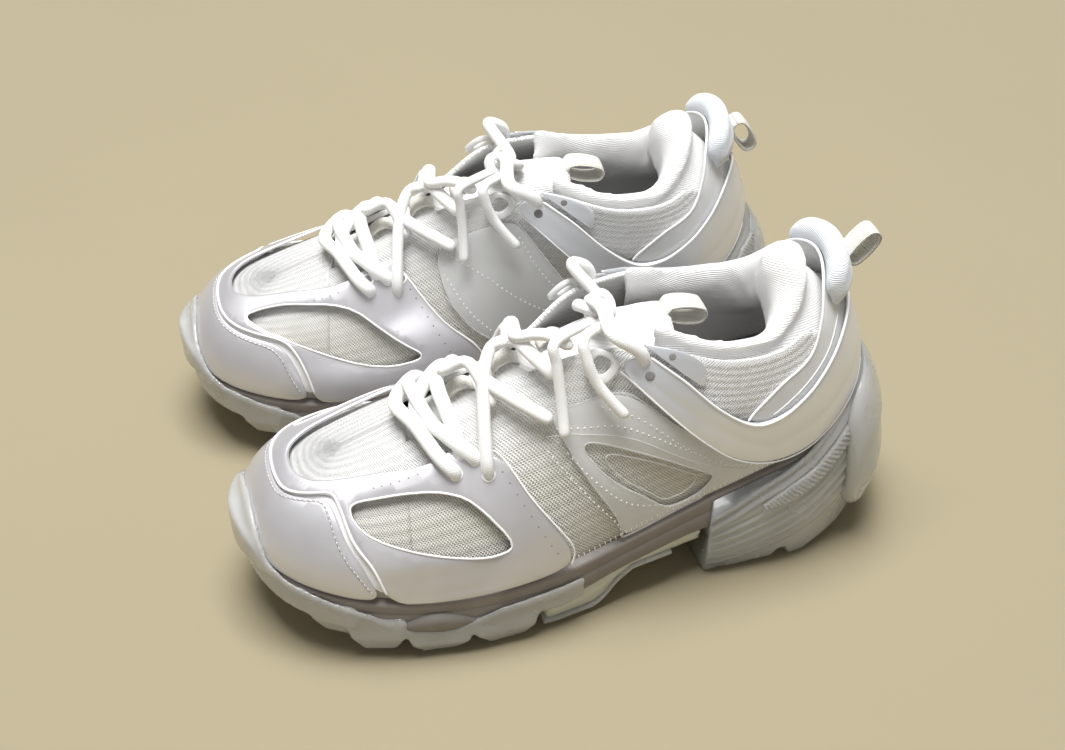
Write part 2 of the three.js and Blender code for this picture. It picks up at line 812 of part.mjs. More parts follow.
// A point above the lace throat: u runs from -1 at the outer edge to 1 at the inner edge.
function aboveThroat(k, u, lift) {
  return acrossRidge(k, u, 0.62, lift);
}
const LACE_LIFT = CAGE_LOW + CAGE + LACE / 2 + 2;

function threadedLace() {
  const eye = (side, i) => {
    const [k, h] = EYELETS[side][i];
    return offsetPoint(side === "outer" ? k : -k, h, LACE_LIFT);
  };
  const over = (k, lift) => aboveThroat(k, 0, LACE_LIFT + lift);
  const points = [
    eye("outer", 2),
    over(6.3, 5),
    eye("inner", 1),
    over(4.95, 7),
    eye("outer", 0),
    over(4.1, 4),
    eye("inner", 0),
    over(4.95, 0.6),
    eye("outer", 1),
    over(5.8, 1.5),
    eye("inner", 2),
  ];
  return cord(points, 40);
}

const KNOT = vec(15, 0, 129);
const laceKnot = () => {
  const geometry = new THREE.SphereGeometry(8, 10, 7);
  return geometry.scale(1.1, 1.3, 0.7).translate(KNOT.x, KNOT.y, KNOT.z);
};

// The free ends hang from the knot down one side of the shoe, as points in (k, h, lift).
const FREE_ENDS = {
  front: [
    [6.7, 0.92, 17],
    [6.6, 0.82, 15],
    [6.5, 0.71, 10],
    [6.43, 0.62, 7.5],
    [6.37, 0.54, 7.5],
  ],
  rear: [
    [7.0, 0.95, 15],
    [6.93, 0.84, 14],
    [6.93, 0.74, 10],
    [7.02, 0.66, 7.5],
    [7.16, 0.59, 7.5],
  ],
};
const KNOT_EXIT = { front: vec(10, 13, 133), rear: vec(19, 13, 131) };
function freeEnd(name, side) {
  const start = KNOT_EXIT[name].clone().multiply(vec(1, -side, 1));
  const hang = FREE_ENDS[name].map(([k, h, lift]) => offsetPoint(side * k, h, lift));
  return cord([start, ...hang], 12, LACE - 0.4);
}

// ---------- one shoe ----------
const PAINT = {
  white: { color: 0xe9e9ea, roughness: 0.45 },
  foam: { color: 0xb9b3ae, roughness: 0.6 },
  clear: { color: 0xc9cfcb, roughness: 0.25 },
  shank: { color: 0xd3d8b4, roughness: 0.3 },
  mesh: { color: 0xdadad2, roughness: 0.8 },
  knit: { color: 0xececec, roughness: 0.85 },
  webbing: { color: 0xe6e2cf, roughness: 0.8 },
  lace: { color: 0xf4f3ee, roughness: 0.85 },
  board: { color: 0x8f8f8c, roughness: 0.9 },
};

function shoe(prefix, { laceSide, loopTilt }) {
  const group = new THREE.Group();
  const add = (name, geometry, paint) => {
    const mesh = new THREE.Mesh(geometry, new THREE.MeshStandardMaterial(PAINT[paint]));
    mesh.name = `${prefix}_${name}`;
    group.add(mesh);
  };
  add("outsole_forefoot", outsoleForefoot(), "clear");
  add("outsole_heel", outsoleHeel(), "clear");
  add("heel_fender", heelFender(), "clear");
  add("midsole", midsole(), "foam");
  add("shank", shank(), "shank");
  add("insole_board", insoleBoard(), "board");
  add("sockliner", sockliner(), "board");
  add("vamp_mesh", vampMesh(), "mesh");
  add("outer_quarter_mesh", quarterMesh(1), "mesh");
  add("inner_quarter_mesh", quarterMesh(-1), "mesh");
  add("toe_cap", toeCap(), "white");
  add("forefoot_cage", forefootCage(), "white");
  add("outer_wing", outerWing(), "clear");
  add("inner_wing", innerWing(), "clear");
  add("outer_strap", outerStrap(), "white");
  add("inner_strap", innerStrap(), "white");
  add("outer_eyestay", eyestay(1), "white");
  add("inner_eyestay", eyestay(-1), "white");
  add("heel_blade", heelBlade(), "clear");
  add("collar_padding", collarPadding(), "knit");
  add("tongue", tongue(0, TONGUE_BREAK - 0.012, 5, 8), "knit");
  add("tongue_top", tongue(TONGUE_BREAK, 1, 6, 5), "knit");
  add("tongue_loop", loop(TONGUE_LOOP), "webbing");
  add("heel_tab", heelTab(), "white");
  add("heel_loop", loop({ ...HEEL_LOOP, tilt: loopTilt }), "webbing");
  add("lace", threadedLace(), "lace");
  add("lace_knot", laceKnot(), "lace");
  add("lace_end_front", freeEnd("front", laceSide), "lace");
  add("lace_end_rear", freeEnd("rear", laceSide), "lace");
  return group;
}

// ---------- the pair ----------
const pair = new THREE.Group();
for (const [name, place] of Object.entries(PLACES)) {
  const one = shoe(name, place);
  one.scale.y = place.mirror;
  one.rotation.z = THREE.MathUtils.degToRad(place.yaw);
  one.position.set(place.x, place.y, 0);
  pair.add(one);
}

export default pair;
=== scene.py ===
"""Looks for a pair of layered low-cut trainers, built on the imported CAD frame.

Every piece is made once in one shoe's own frame, in millimetres, with the toe along -X, the outer
side towards -Y and the ground at Z = 0. It is then placed twice: as the left shoe, and mirrored as
the right shoe. The upper is one smooth surface in two numbers: k, the station round the shoe
(0 at the toe, 12 at the heel, positive on the outer side), and h, from 0 at the sole to 1 on top.
"""

import math

import bmesh
import bpy
import numpy as np
from mathutils import Matrix, Vector
from mathutils.geometry import delaunay_2d_cdt


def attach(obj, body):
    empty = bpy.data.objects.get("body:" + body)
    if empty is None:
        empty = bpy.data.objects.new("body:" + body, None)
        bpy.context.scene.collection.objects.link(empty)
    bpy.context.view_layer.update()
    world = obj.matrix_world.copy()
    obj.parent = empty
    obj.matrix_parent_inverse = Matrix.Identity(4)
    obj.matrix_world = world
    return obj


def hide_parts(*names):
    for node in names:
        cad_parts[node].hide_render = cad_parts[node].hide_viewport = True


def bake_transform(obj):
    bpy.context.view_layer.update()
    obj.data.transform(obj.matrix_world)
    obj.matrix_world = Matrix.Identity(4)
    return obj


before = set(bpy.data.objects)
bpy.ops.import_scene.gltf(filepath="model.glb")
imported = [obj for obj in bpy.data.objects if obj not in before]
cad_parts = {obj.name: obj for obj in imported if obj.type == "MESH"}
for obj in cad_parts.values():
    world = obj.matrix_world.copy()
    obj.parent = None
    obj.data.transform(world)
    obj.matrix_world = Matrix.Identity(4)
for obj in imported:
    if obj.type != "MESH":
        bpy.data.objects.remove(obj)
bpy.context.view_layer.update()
MM = 0.001


# ---------- the two shoes ----------
class Shoe:
    def __init__(self, name, x, y, yaw, mirror):
        self.name = name
        self.origin = np.array([x, y, 0.0])
        turn = math.radians(yaw)
        self.turn = np.array(
            [[math.cos(turn), -math.sin(turn), 0], [math.sin(turn), math.cos(turn), 0], [0, 0, 1]]
        )
        self.mirror = mirror

    def place(self, points):
        """Points of the shoe's own frame, in millimetres, as points of the shared frame, in metres."""
        own = np.asarray(points, float) * [1, self.mirror, 1]
        return (own @ self.turn.T + self.origin) * MM


LEFT = Shoe("left", 0.6, -62.7, 0.6, 1)
RIGHT = Shoe("right", -9.4, 60.3, -3.6, -1)
SHOES = (LEFT, RIGHT)

# ---------- camera ----------
CAMERA_AT = Vector((-138.4, -540.7, 520.0)) * MM
CAMERA_AZIMUTH = math.radians(-15.0)
CAMERA_ELEVATION = math.radians(40.6)
IMAGE_WIDTH = 1065
FOCAL_PIXELS = 1500


def add_camera():
    data = bpy.data.cameras.new("camera")
    data.sensor_width = 36
    data.lens = FOCAL_PIXELS / IMAGE_WIDTH * data.sensor_width
    camera = bpy.data.objects.new("camera", data)
    camera.location = CAMERA_AT
    camera.rotation_euler = (math.pi / 2 - CAMERA_ELEVATION, 0, CAMERA_AZIMUTH)
    bpy.context.scene.collection.objects.link(camera)
    bpy.context.scene.camera = camera


add_camera()

# ---------- the upper's surface ----------
# Foot x, outer y, inner y, foot z, top x, top half width, top z, arch, bulge, fullness.
STATIONS = [
    (-141.5, 0, 0, 43, -98, 0, 76, 1.0, 0, 1.1),
    (-137, -21, 21, 42, -97, 0, 76, 1.0, 1, 1.1),
    (-124.5, -38, 36, 39, -95, 0, 77, 1.0, 1, 1.1),
    (-104, -50, 45, 35, -86, 0, 81, 1.0, 1, 1.15),
    (-78, -57, 49, 32, -69, 0, 88, 1.0, 1, 1.2),
    (-48, -60, 48, 32, -46, 0, 100, 1.0, 0, 1.3),
    (-16, -58, 44, 34, -20, 0, 114, 0.95, 0, 1.3),
    (16, -52, 39, 39, 8, 16, 128, 0.6, 2, 1.2),
    (47, -47, 36, 46, 36, 27, 125, 0.25, 3, 1.0),
    (77, -44, 37, 54, 66, 33, 116, 0.1, 3, 1.0),
    (105, -40, 36, 61, 93, 31, 117, 0.1, 3, 1.0),
    (128, -26, 24, 69, 110, 20, 130, 0.1, 3, 1.0),
    (138, 0, 0, 71, 116, 0, 138, 0.1, 3, 1.0),
]
HEEL = len(STATIONS) - 1
RING = 2 * HEEL


def ring(point):
    """One point per station, down the outer side (+1) and back up the inner side (-1)."""
    outer = [point(row, i, 1) for i, row in enumerate(STATIONS)]
    inner = [point(STATIONS[i], i, -1) for i in range(HEEL - 1, 0, -1)]
    return np.array(outer + inner, float)


FOOT = ring(lambda r, i, side: (r[0], r[1] if side > 0 else r[2], r[3]))
TOP = ring(lambda r, i, side: (r[4], -side * r[5], r[6]))
FORM = ring(lambda r, i, side: r[7:10])


def between(p0, p1, p2, p3, t):
    """The part from p1 to p2 of a Catmull-Rom curve through four points."""
    v1, v2 = (p2 - p0) / 2, (p3 - p1) / 2
    return (2 * p1 - 2 * p2 + v1 + v2) * t**3 + (3 * p2 - 3 * p1 - 2 * v1 - v2) * t**2 + v1 * t + p1


def along_ring(values, k):
    """A closed smooth curve through one value per station."""
    k = np.asarray(k, float) % RING
    i = np.floor(k).astype(int)
    return between(*(values[(i + step) % RING] for step in (-1, 0, 1, 2)), (k - i)[..., None])


def surface(k, h):
    k, h = np.broadcast_arrays(np.asarray(k, float), np.asarray(h, float))
    foot, top, form = along_ring(FOOT, k), along_ring(TOP, k), along_ring(FORM, k)
    arch, bulge, fullness = form[..., 0:1], form[..., 1:2], form[..., 2:3]
    inside = np.clip(h, 0, 1)[..., None]
    turn = inside * math.pi / 2
    high = np.maximum(h, 0)[..., None]
    inward = arch * (1 - np.cos(turn) ** fullness) + (1 - arch) * high**1.6
    upward = arch * np.sin(turn) ** fullness + (1 - arch) * h[..., None]
    run = top[..., :2] - foot[..., :2]
    length = np.linalg.norm(run, axis=-1, keepdims=True) + 1e-6
    plan = foot[..., :2] + run * inward - run / length * bulge * np.sin(math.pi * inside)
    return np.concatenate([plan, foot[..., 2:] + (top[..., 2:] - foot[..., 2:]) * upward], -1)


def tangents(k, h):
    """How the surface moves per unit of k and per unit of h."""
    step = 0.02
    low = np.clip(h, 0, 0.97)
    by_k = (surface(k + step, low) - surface(k - step, low)) / (2 * step)
    by_h = (surface(k, low + step) - surface(k, low - step)) / (2 * step)
    return by_k, by_h


def unit(vectors):
    return vectors / (np.linalg.norm(vectors, axis=-1, keepdims=True) + 1e-9)


def lifted(k, h, lift):
    """Points at a height above the surface, in millimetres."""
    k, h, lift = np.broadcast_arrays(*(np.asarray(v, float) for v in (k, h, lift)))
    by_k, by_h = tangents(k, h)
    return surface(k, h) + unit(np.cross(by_k, by_h)) * lift[..., None]


def outward(k):
    """The outward direction in plan at a station."""
    along = along_ring(FOOT, np.asarray(k) + 0.05) - along_ring(FOOT, np.asarray(k) - 0.05)
    flat = np.stack([along[..., 1], -along[..., 0], 0 * along[..., 0]], -1)
    return unit(flat)


# ---------- curves ----------
def smooth_path(points, step):
    """An open smooth curve through the points, sampled about every step millimetres."""
    p = np.asarray(points, float)
    p = np.vstack([2 * p[0] - p[1], p, 2 * p[-1] - p[-2]])
    out = []
    for i in range(1, len(p) - 2):
        count = max(2, int(np.linalg.norm(p[i + 1] - p[i]) / step))
        t = (np.arange(count) / count)[:, None]
        out.append(between(p[i - 1], p[i], p[i + 1], p[i + 2], t))
    return np.vstack(out + [p[-2:-1]])


def closed_curve(points, per):
    """A smooth closed ring through a few points, with so many points per stretch."""
    p = np.asarray(points, float)
    t = (np.arange(per) / per)[:, None]
    return np.vstack([between(*(p[(i + s) % len(p)] for s in (-1, 0, 1, 2)), t) for i in range(len(p))])


def distances(points):
    """How far along a line of points each of them is."""
    return np.concatenate([[0], np.cumsum(np.linalg.norm(np.diff(points, axis=0), axis=1))])


CORNER_CUT = 0.22  # the share of each side that is cut off at both its ends
CORNER_ROUNDS = 2


def rounded(loop):
    """Cuts the corners of a closed outline."""
    p = np.asarray(loop, float)
    for _ in range(CORNER_ROUNDS):
        q = np.roll(p, -1, axis=0)
        near_end = p * (1 - CORNER_CUT) + q * CORNER_CUT
        p = np.stack([near_end, p * CORNER_CUT + q * (1 - CORNER_CUT)], 1).reshape(-1, 2)
    return p


def spaced(loop, step):
    """Resamples a closed outline in (k, h) so that its points are about step millimetres apart."""
    closed = np.vstack([loop, loop[:1]])
    fine = np.vstack([closed[:-1] + (closed[1:] - closed[:-1]) * t for t in (0, 0.25, 0.5, 0.75)])
    order = np.arange(len(fine)).reshape(4, -1).T.ravel()
    fine = np.vstack([fine[order], loop[:1]])
    run = distances(surface(fine[:, 0], fine[:, 1]))
    count = max(8, int(run[-1] / step))
    at = np.linspace(0, run[-1], count, endpoint=False)
    return np.stack([np.interp(at, run, fine[:, i]) for i in (0, 1)], 1)


def area(loop):
    x, y = loop[:, 0], loop[:, 1]
    return 0.5 * np.sum(x * np.roll(y, -1) - y * np.roll(x, -1))


def inside(points, loop):
    """Which points lie inside a closed outline."""
    x, y = points[:, 0:1], points[:, 1:2]
    x0, y0 = loop[:, 0], loop[:, 1]
    x1, y1 = np.roll(x0, -1), np.roll(y0, -1)
    crosses = (y0 > y) != (y1 > y)
    with np.errstate(divide="ignore", invalid="ignore"):
        at = x0 + (y - y0) * (x1 - x0) / (y1 - y0)
    return (np.sum(crosses & (x < at), axis=1) % 2) == 1


def clearance(points, loop):
    """Distance from each point to the nearest vertex of an outline."""
    return np.min(np.linalg.norm(points[:, None] - loop[None], axis=2), axis=1)


# ---------- shapes: (points in mm, faces, uv per point) ----------
class Shape:
    def __init__(self, points, faces, uv=None):
        self.points = np.asarray(points, float)
        self.faces = [tuple(int(v) for v in f) for f in faces]
        self.uv = None if uv is None else np.asarray(uv, float)


def joined(shapes):
    points, faces, uv, base = [], [], [], 0
    for s in shapes:
        points.append(s.points)
        faces += [tuple(v + base for v in f) for f in s.faces]
        uv.append(s.uv if s.uv is not None else s.points[:, :2])
        base += len(s.points)
    return Shape(np.vstack(points), faces, np.vstack(uv))


K_SCALE, H_SCALE = 30.0, 80.0  # millimetres per unit of k and of h, about
SCALE = np.array([K_SCALE, H_SCALE])
OUTLINE_STEP = 1.6
FARTHEST_SLIDE = 0.12  # the most that an outline point moves in k or h


def slid(line, by):
    """An outline moved by millimetres towards its inner side, along the surface."""
    k, h = line[:, 0], line[:, 1]
    by_k, by_h = tangents(k, h)
    d = np.roll(line, -1, axis=0) - np.roll(line, 1, axis=0)
    along = unit(by_k * d[:, 0:1] + by_h * d[:, 1:2])
    inward = np.cross(unit(np.cross(by_k, by_h)), along)
    g11, g12, g22 = (np.sum(a * b, 1) for a, b in ((by_k, by_k), (by_k, by_h), (by_h, by_h)))
    b1, b2 = np.sum(inward * by_k, 1), np.sum(inward * by_h, 1)
    det = g11 * g22 - g12**2 + 1e-6
    move = np.stack([(g22 * b1 - g12 * b2) / det, (g11 * b2 - g12 * b1) / det], 1)
    farthest = np.abs(by * move).max(axis=1, keepdims=True)
    return line + by * move * np.minimum(1, FARTHEST_SLIDE / np.maximum(farthest, 1e-6))


def within(points, loops):
    """Which points lie in the first outline and in none of the holes after it."""
    found = inside(points, loops[0])
    for hole in loops[1:]:
        found &= ~inside(points, hole)
    return found


def filled(loops, fill):
    """Triangles about fill millimetres wide inside an outline and round its holes.

    Gives their corners in (k, h), the triangles, and the corner that each outline point became.
    """
    border = np.vstack(loops)
    grid_k = np.arange(border[:, 0].min(), border[:, 0].max(), fill / K_SCALE)
    grid_h = np.arange(border[:, 1].min(), border[:, 1].max(), fill / H_SCALE)
    grid = np.stack(np.meshgrid(grid_k, grid_h, indexing="ij"), -1).reshape(-1, 2)
    grid = grid[within(grid, loops)]
    grid = grid[clearance(grid * SCALE, border * SCALE) > 0.55 * fill]
    flat = np.vstack([border, grid])
    links, start = [], 0
    for line in loops:
        n = len(line)
        links += [(start + i, start + (i + 1) % n) for i in range(n)]
        start += n
    found = delaunay_2d_cdt([Vector(p) for p in flat * SCALE], links, [], 0, 1e-5)
    spots = np.array([v[:] for v in found[0]]) / SCALE
    source = [ids[0] if ids else -1 for ids in found[3]]
    triangles = np.array([f[:] for f in found[2] if len(f) == 3])
    triangles = triangles[within(spots[triangles].mean(axis=1), loops)]
    a, b, c = (spots[triangles[:, i]] for i in range(3))
    turned = np.cross(b - a, c - a) < 0
    triangles[turned] = triangles[turned][:, ::-1]
    return spots, triangles, {s: i for i, s in enumerate(source) if s >= 0}


def patch(outline, low, high, holes=(), soft=0.7, fill=4.5, relief=None):
    """A closed piece cut to an outline in (k, h) and wrapped on the upper, with softened edges.

    low and high are the heights of its two faces above the surface. relief(k, h) adds to high.
    """
    loops = []
    for i, loop in enumerate([outline, *holes]):
        line = spaced(rounded(loop), OUTLINE_STEP)
        if (area(line) > 0) != (i == 0):
            line = line[::-1]
        loops.append(line)
    extra = (lambda k, h: np.zeros_like(k)) if relief is None else relief
    soft = min(soft, (high - low) * 0.8)
    rows = [(0.0, low), (0.0, high - soft), (0.3 * soft, high - 0.3 * soft)]
    spots, triangles, position = filled([slid(line, soft) for line in loops], fill)
    top_lift = high + extra(spots[:, 0], spots[:, 1])
    points = [lifted(spots[:, 0], spots[:, 1], top_lift), lifted(spots[:, 0], spots[:, 1], low)]
    uvs = [spots, spots]
    n = len(spots)
    faces = [tuple(t) for t in triangles]
    faces += [(t[2] + n, t[1] + n, t[0] + n) for t in triangles]
    base, start = 2 * n, 0
    for line in loops:
        m = len(line)
        for by, lift in rows:
            spot = slid(line, by) if by else line
            add = extra(spot[:, 0], spot[:, 1]) if lift > low else 0
            points.append(lifted(spot[:, 0], spot[:, 1], lift + add))
            uvs.append(spot)
        for i in range(m):
            j = (i + 1) % m
            inner_i, inner_j = position[start + i], position[start + j]
            for r in range(len(rows) - 1):
                lower, upper = base + r * m, base + (r + 1) * m
                faces.append((lower + i, lower + j, upper + j, upper + i))
            last = base + (len(rows) - 1) * m
            faces.append((last + i, last + j, inner_j, inner_i))
            faces.append((inner_i + n, inner_j + n, base + j, base + i))
        base += len(rows) * m
        start += m
    return Shape(np.vstack(points), faces, np.vstack(uvs) * SCALE)


def stack(rings):
    """A solid through a row of closed rings of points, one after the other."""
    rings = [np.asarray(r, float) for r in rings]
    n = len(rings[0])
    faces = []
    for i in range(len(rings) - 1):
        for j in range(n):
            a, b = i * n + j, i * n + (j + 1) % n
            faces.append((a, b, b + n, a + n))
    steps = [np.linalg.norm(np.mean(b - a, 0)) for a, b in zip(rings, rings[1:])]
    run = np.concatenate([[0], np.cumsum(steps)])
    around = distances(rings[len(rings) // 2])
    uv = [(around[j], run[i]) for i in range(len(rings)) for j in range(n)]
    last = (len(rings) - 1) * n
    faces.append(tuple(range(n - 1, -1, -1)))
    faces.append(tuple(range(last, last + n)))
    return Shape(np.vstack(rings), faces, uv)


def tube(path, width, height, sides, up=(0, 0, 1), step=1.5):
    """A cord of oval section along a path in millimetres. Its ends are rounded off."""
    line = smooth_path(path, step)
    along = unit(np.gradient(line, axis=0))
    side = np.array(up, float)
    rings = []
    total = len(line) - 1
    for i, (point, direction) in enumerate(zip(line, along)):
        side = side - direction * np.dot(side, direction)
        side = side / (np.linalg.norm(side) + 1e-9)
        across = np.cross(direction, side)
        ends = min(i, total - i)
        size = math.sqrt(1 - (1 - min(ends, 2) / 2) ** 2 * 0.75)
        angle = np.arange(sides) * 2 * math.pi / sides
        rings.append(
            point
            + across * (np.cos(angle) * width / 2 * size)[:, None]
            + side * (np.sin(angle) * height / 2 * size)[:, None]
        )
    return stack(rings)


RIBBON_FACE = [(-1, 0.6), (-0.94, 1), (0, 1.25), (0.94, 1), (1, 0.6)]  # swells towards its middle
RIBBON_SECTION = [(a, -b) for a, b in RIBBON_FACE] + RIBBON_FACE[::-1]


def ribbon(path, width, thickness):
    """A strip of webbing along a path, with its width across the shoe."""
    line = smooth_path(path, 1.2)
    along = unit(np.gradient(line, axis=0))
    across = np.array([0.0, 1.0, 0.0])
    rings = []
    for point, direction in zip(line, along):
        wide = unit(across - direction * np.dot(across, direction))
        thick = np.cross(direction, wide)
        rings.append([point + wide * a * width / 2 + thick * b * thickness / 2 for a, b in RIBBON_SECTION])
    return stack(rings)


EASING_ROUNDS = 30
EASING_SHARES = [0.6, -0.57]  # how far each point goes towards its neighbours, in and out


def eased_over_ridge(sheet, weight):
    """Evens out a grid of points whose last column, along the ridge, is shared by the two sides.

    Each round pulls the points together and then lets them out again, so that the form stays full.
    """
    for share in EASING_SHARES * EASING_ROUNDS:
        sheet[:, -1] = (sheet[:, -1] + sheet[::-1, -1]) / 2
        wide = np.concatenate([sheet[:, :1], sheet, sheet[::-1, -2:-1]], axis=1)
        across = wide[1:-1, :-2] + wide[1:-1, 2:]
        along = wide[:-2, 1:-1] + wide[2:, 1:-1]
        sheet[1:-1] += share * weight[1:-1] * ((across + along) / 4 - sheet[1:-1])


def capped_sweep(ring_at, values):
    """A solid whose closed rings come from one function."""
    return stack([ring_at(v) for v in values])


def closed_grid(top, under, rows, columns, uv):
    """A closed sheet from two grids of points, an upper and a lower one."""
    wide, count = columns + 1, (rows + 1) * (columns + 1)
    faces = []
    for i in range(rows):
        for j in range(columns):
            a = i * wide + j
            faces.append((a, a + wide, a + wide + 1, a + 1))
            faces.append((count + a, count + a + 1, count + a + wide + 1, count + a + wide))
    edge = [i * wide for i in range(rows + 1)] + [rows * wide + j for j in range(1, wide)]
    edge += [i * wide + columns for i in range(rows - 1, -1, -1)] + list(range(columns - 1, 0, -1))
    for a, b in zip(edge, edge[1:] + edge[:1]):
        faces.append((a, b, b + count, a + count))
    return Shape(np.vstack([top, under]), faces, np.vstack([uv, uv]))


def hull(points):
    """The convex solid round some points."""
    shell = bmesh.new()
    for p in points:
        shell.verts.new(p)
    bmesh.ops.convex_hull(shell, input=shell.verts)
    loose = [v for v in shell.verts if not v.link_faces]
    bmesh.ops.delete(shell, geom=loose, context="VERTS")
    shell.verts.index_update()
    shape = Shape([v.co[:] for v in shell.verts], [[v.index for v in f.verts] for f in shell.faces])
    shell.free()
    return shape


def scratch_object(shape):
    mesh = bpy.data.meshes.new("scratch")
    mesh.from_pydata((shape.points * MM).tolist(), [], shape.faces)
    piece = bpy.data.objects.new("scratch", mesh)
    bpy.context.scene.collection.objects.link(piece)
    return piece


def shape_of(piece):
    """The shape an object has with its modifiers, and the object is removed."""
    mesh = piece.evaluated_get(bpy.context.evaluated_depsgraph_get()).data
    points = np.zeros(len(mesh.vertices) * 3, np.float32)
    mesh.vertices.foreach_get("co", points)
    corners = np.zeros(len(mesh.loops), np.int32)
    mesh.loops.foreach_get("vertex_index", corners)
    starts = np.zeros(len(mesh.polygons), np.int32)
    mesh.polygons.foreach_get("loop_start", starts)
    faces = np.split(corners, starts[1:])
    shape = Shape(points.reshape(-1, 3) / MM, faces)
    data = piece.data
    bpy.data.objects.remove(piece)
    bpy.data.meshes.remove(data)
    return shape


def fused(shapes, voxel, relax):
    """Overlapping closed shapes melted into one moulded body with softened edges."""
    piece = scratch_object(joined(shapes))
    remesh = piece.modifiers.new("remesh", "REMESH")
    remesh.mode = "VOXEL"
    remesh.voxel_size = voxel * MM
    smooth = piece.modifiers.new("smooth", "SMOOTH")
    smooth.factor = 0.5
    smooth.iterations = relax
    return shape_of(piece)


SIMULATED_FRAMES = 20
PUFF_PRESSURE = 4
CLOTH_QUALITY = 4


def puffed(shape, voxel, cap):
    """A padded piece blown up by a cloth simulation. No point moves further than the cap."""
    start = fused([shape], voxel, 1)
    piece = scratch_object(start)
    cloth = piece.modifiers.new("cloth", "CLOTH")
    cloth.settings.use_pressure = True
    cloth.settings.uniform_pressure_force = PUFF_PRESSURE
    cloth.settings.effector_weights.gravity = 0
    cloth.settings.quality = CLOTH_QUALITY
    for step in range(1, SIMULATED_FRAMES + 1):
        bpy.context.scene.frame_set(step)
    blown = shape_of(piece)
    bpy.context.scene.frame_set(1)
    moved = blown.points - start.points
    far = np.linalg.norm(moved, axis=1, keepdims=True)
    start.points = start.points + moved * np.minimum(1, cap / np.maximum(far, 1e-6))
    piece = scratch_object(start)
    finer = piece.modifiers.new("subdivision", "SUBSURF")
    finer.levels = finer.render_levels = 1
    return shape_of(piece)


# ---------- materials ----------
class Paint:
    """A principled material whose patterns are built from nodes."""

    def __init__(self, name, **sockets):
        self.material = bpy.data.materials.new(name)
        self.material.use_nodes = True
        self.tree = self.material.node_tree
        self.main = self.tree.nodes["Principled BSDF"]
        for key, value in sockets.items():
            self.main.inputs[key.replace("_", " ")].default_value = value
        place = self.tree.nodes.new("ShaderNodeTexCoord")
        self.uv = place.outputs["UV"]
        self.room = place.outputs["Object"]

    def node(self, kind, inputs=None, **settings):
        made = self.tree.nodes.new("ShaderNode" + kind)
        for key, value in settings.items():
            setattr(made, key, value)
        for key, value in (inputs or {}).items():
            socket = made.inputs[key]
            if isinstance(value, bpy.types.NodeSocket):
                self.tree.links.new(value, socket)
            else:
                socket.default_value = value
        return made

    def turned(self, source, angle):
        """The source's pattern turned by an angle in degrees."""
        found = self.node("Mapping", {"Vector": source})
        found.inputs["Rotation"].default_value = (0, 0, math.radians(angle))
        return found.outputs["Vector"]

    def bands(self, source, period, direction="X", wobble=0.0):
        """Smooth stripes from 0 to 1 with a period in the source's units."""
        wave = self.node(
            "TexWave",
            {"Vector": source, "Scale": math.pi / 10 / period, "Distortion": wobble, "Detail": 1.0},
            bands_direction=direction,
        )
        return wave.outputs["Fac"]

    def noise(self, source, scale, detail=2.0):
        return self.node("TexNoise", {"Vector": source, "Scale": scale, "Detail": detail}).outputs["Fac"]

    def cells(self, source, period):
        """Distance to the nearest point of a regular lattice."""
        found = self.node("TexVoronoi", {"Vector": source, "Scale": 1 / period, "Randomness": 0.0})
        return found.outputs["Distance"]

    def math(self, operation, a, b=0.0):
        return self.node("Math", {0: a, 1: b}, operation=operation).outputs[0]

    def ramp(self, value, *stops):
        """Colours along a value, as (place, grey or colour) pairs."""
        found = self.node("ValToRGB", {"Fac": value})
        band = found.color_ramp.elements
        while len(band) < len(stops):
            band.new(0.5)
        for element, (place, colour) in zip(band, stops):
            element.position = place
            rgb = (colour,) * 3 if isinstance(colour, (int, float)) else colour
            element.color = (*rgb, 1)
        return found.outputs["Color"]

    def colour(self, output):
        self.tree.links.new(output, self.main.inputs["Base Color"])

    def mottle(self, scale, dark, light, spread=0.2, detail=2.0):
        """A base colour that drifts between two shades."""
        shade = self.noise(self.room, scale, detail)
        self.colour(self.ramp(shade, (0.5 - spread, dark), (0.5 + spread, light)))

    def mixed(self, share, a, b):
        found = self.node("MixRGB", {"Fac": share, "Color1": a, "Color2": b})
        return found.outputs["Color"]

    def bump(self, height, distance, strength=1.0):
        found = self.node("Bump", {"Height": height, "Distance": distance, "Strength": strength})
        before = self.main.inputs["Normal"].links
        if before:
            self.tree.links.new(before[0].from_socket, found.inputs["Normal"])
        self.tree.links.new(found.outputs["Normal"], self.main.inputs["Normal"])

    def rough(self, output):
        self.tree.links.new(output, self.main.inputs["Roughness"])

    def alpha(self, output):
        self.tree.links.new(output, self.main.inputs["Alpha"])


def overlay_material(name, low, high):
    """Satin moulded plastic with a faint pearl."""
    paint = Paint(name, Metallic=0.6, Coat_Weight=0.2, Coat_Roughness=0.25)
    paint.main.inputs["Sheen Weight"].default_value = 0.08
    paint.mottle(26.0, low, high, 0.15, 3.0)
    paint.rough(paint.ramp(paint.noise(paint.room, 60.0), (0.3, 0.34), (0.7, 0.42)))
    paint.bump(paint.noise(paint.room, 2600.0, 3.0), 0.0001, 0.25)
    return paint.material


# A whiter copy of the moulded plastic for its raised rims, eyelet rings and seam tape. The rims are real, and
# their extra whiteness is painted highlight.
def highlight_bead_material():
    paint = Paint("overlay_edge_highlight", Roughness=0.3, Coat_Weight=0.2)
    paint.mottle(90.0, (0.9, 0.9, 0.9), (0.95, 0.95, 0.95))
    paint.bump(paint.noise(paint.room, 900.0), 0.0001, 0.2)
    return paint.material


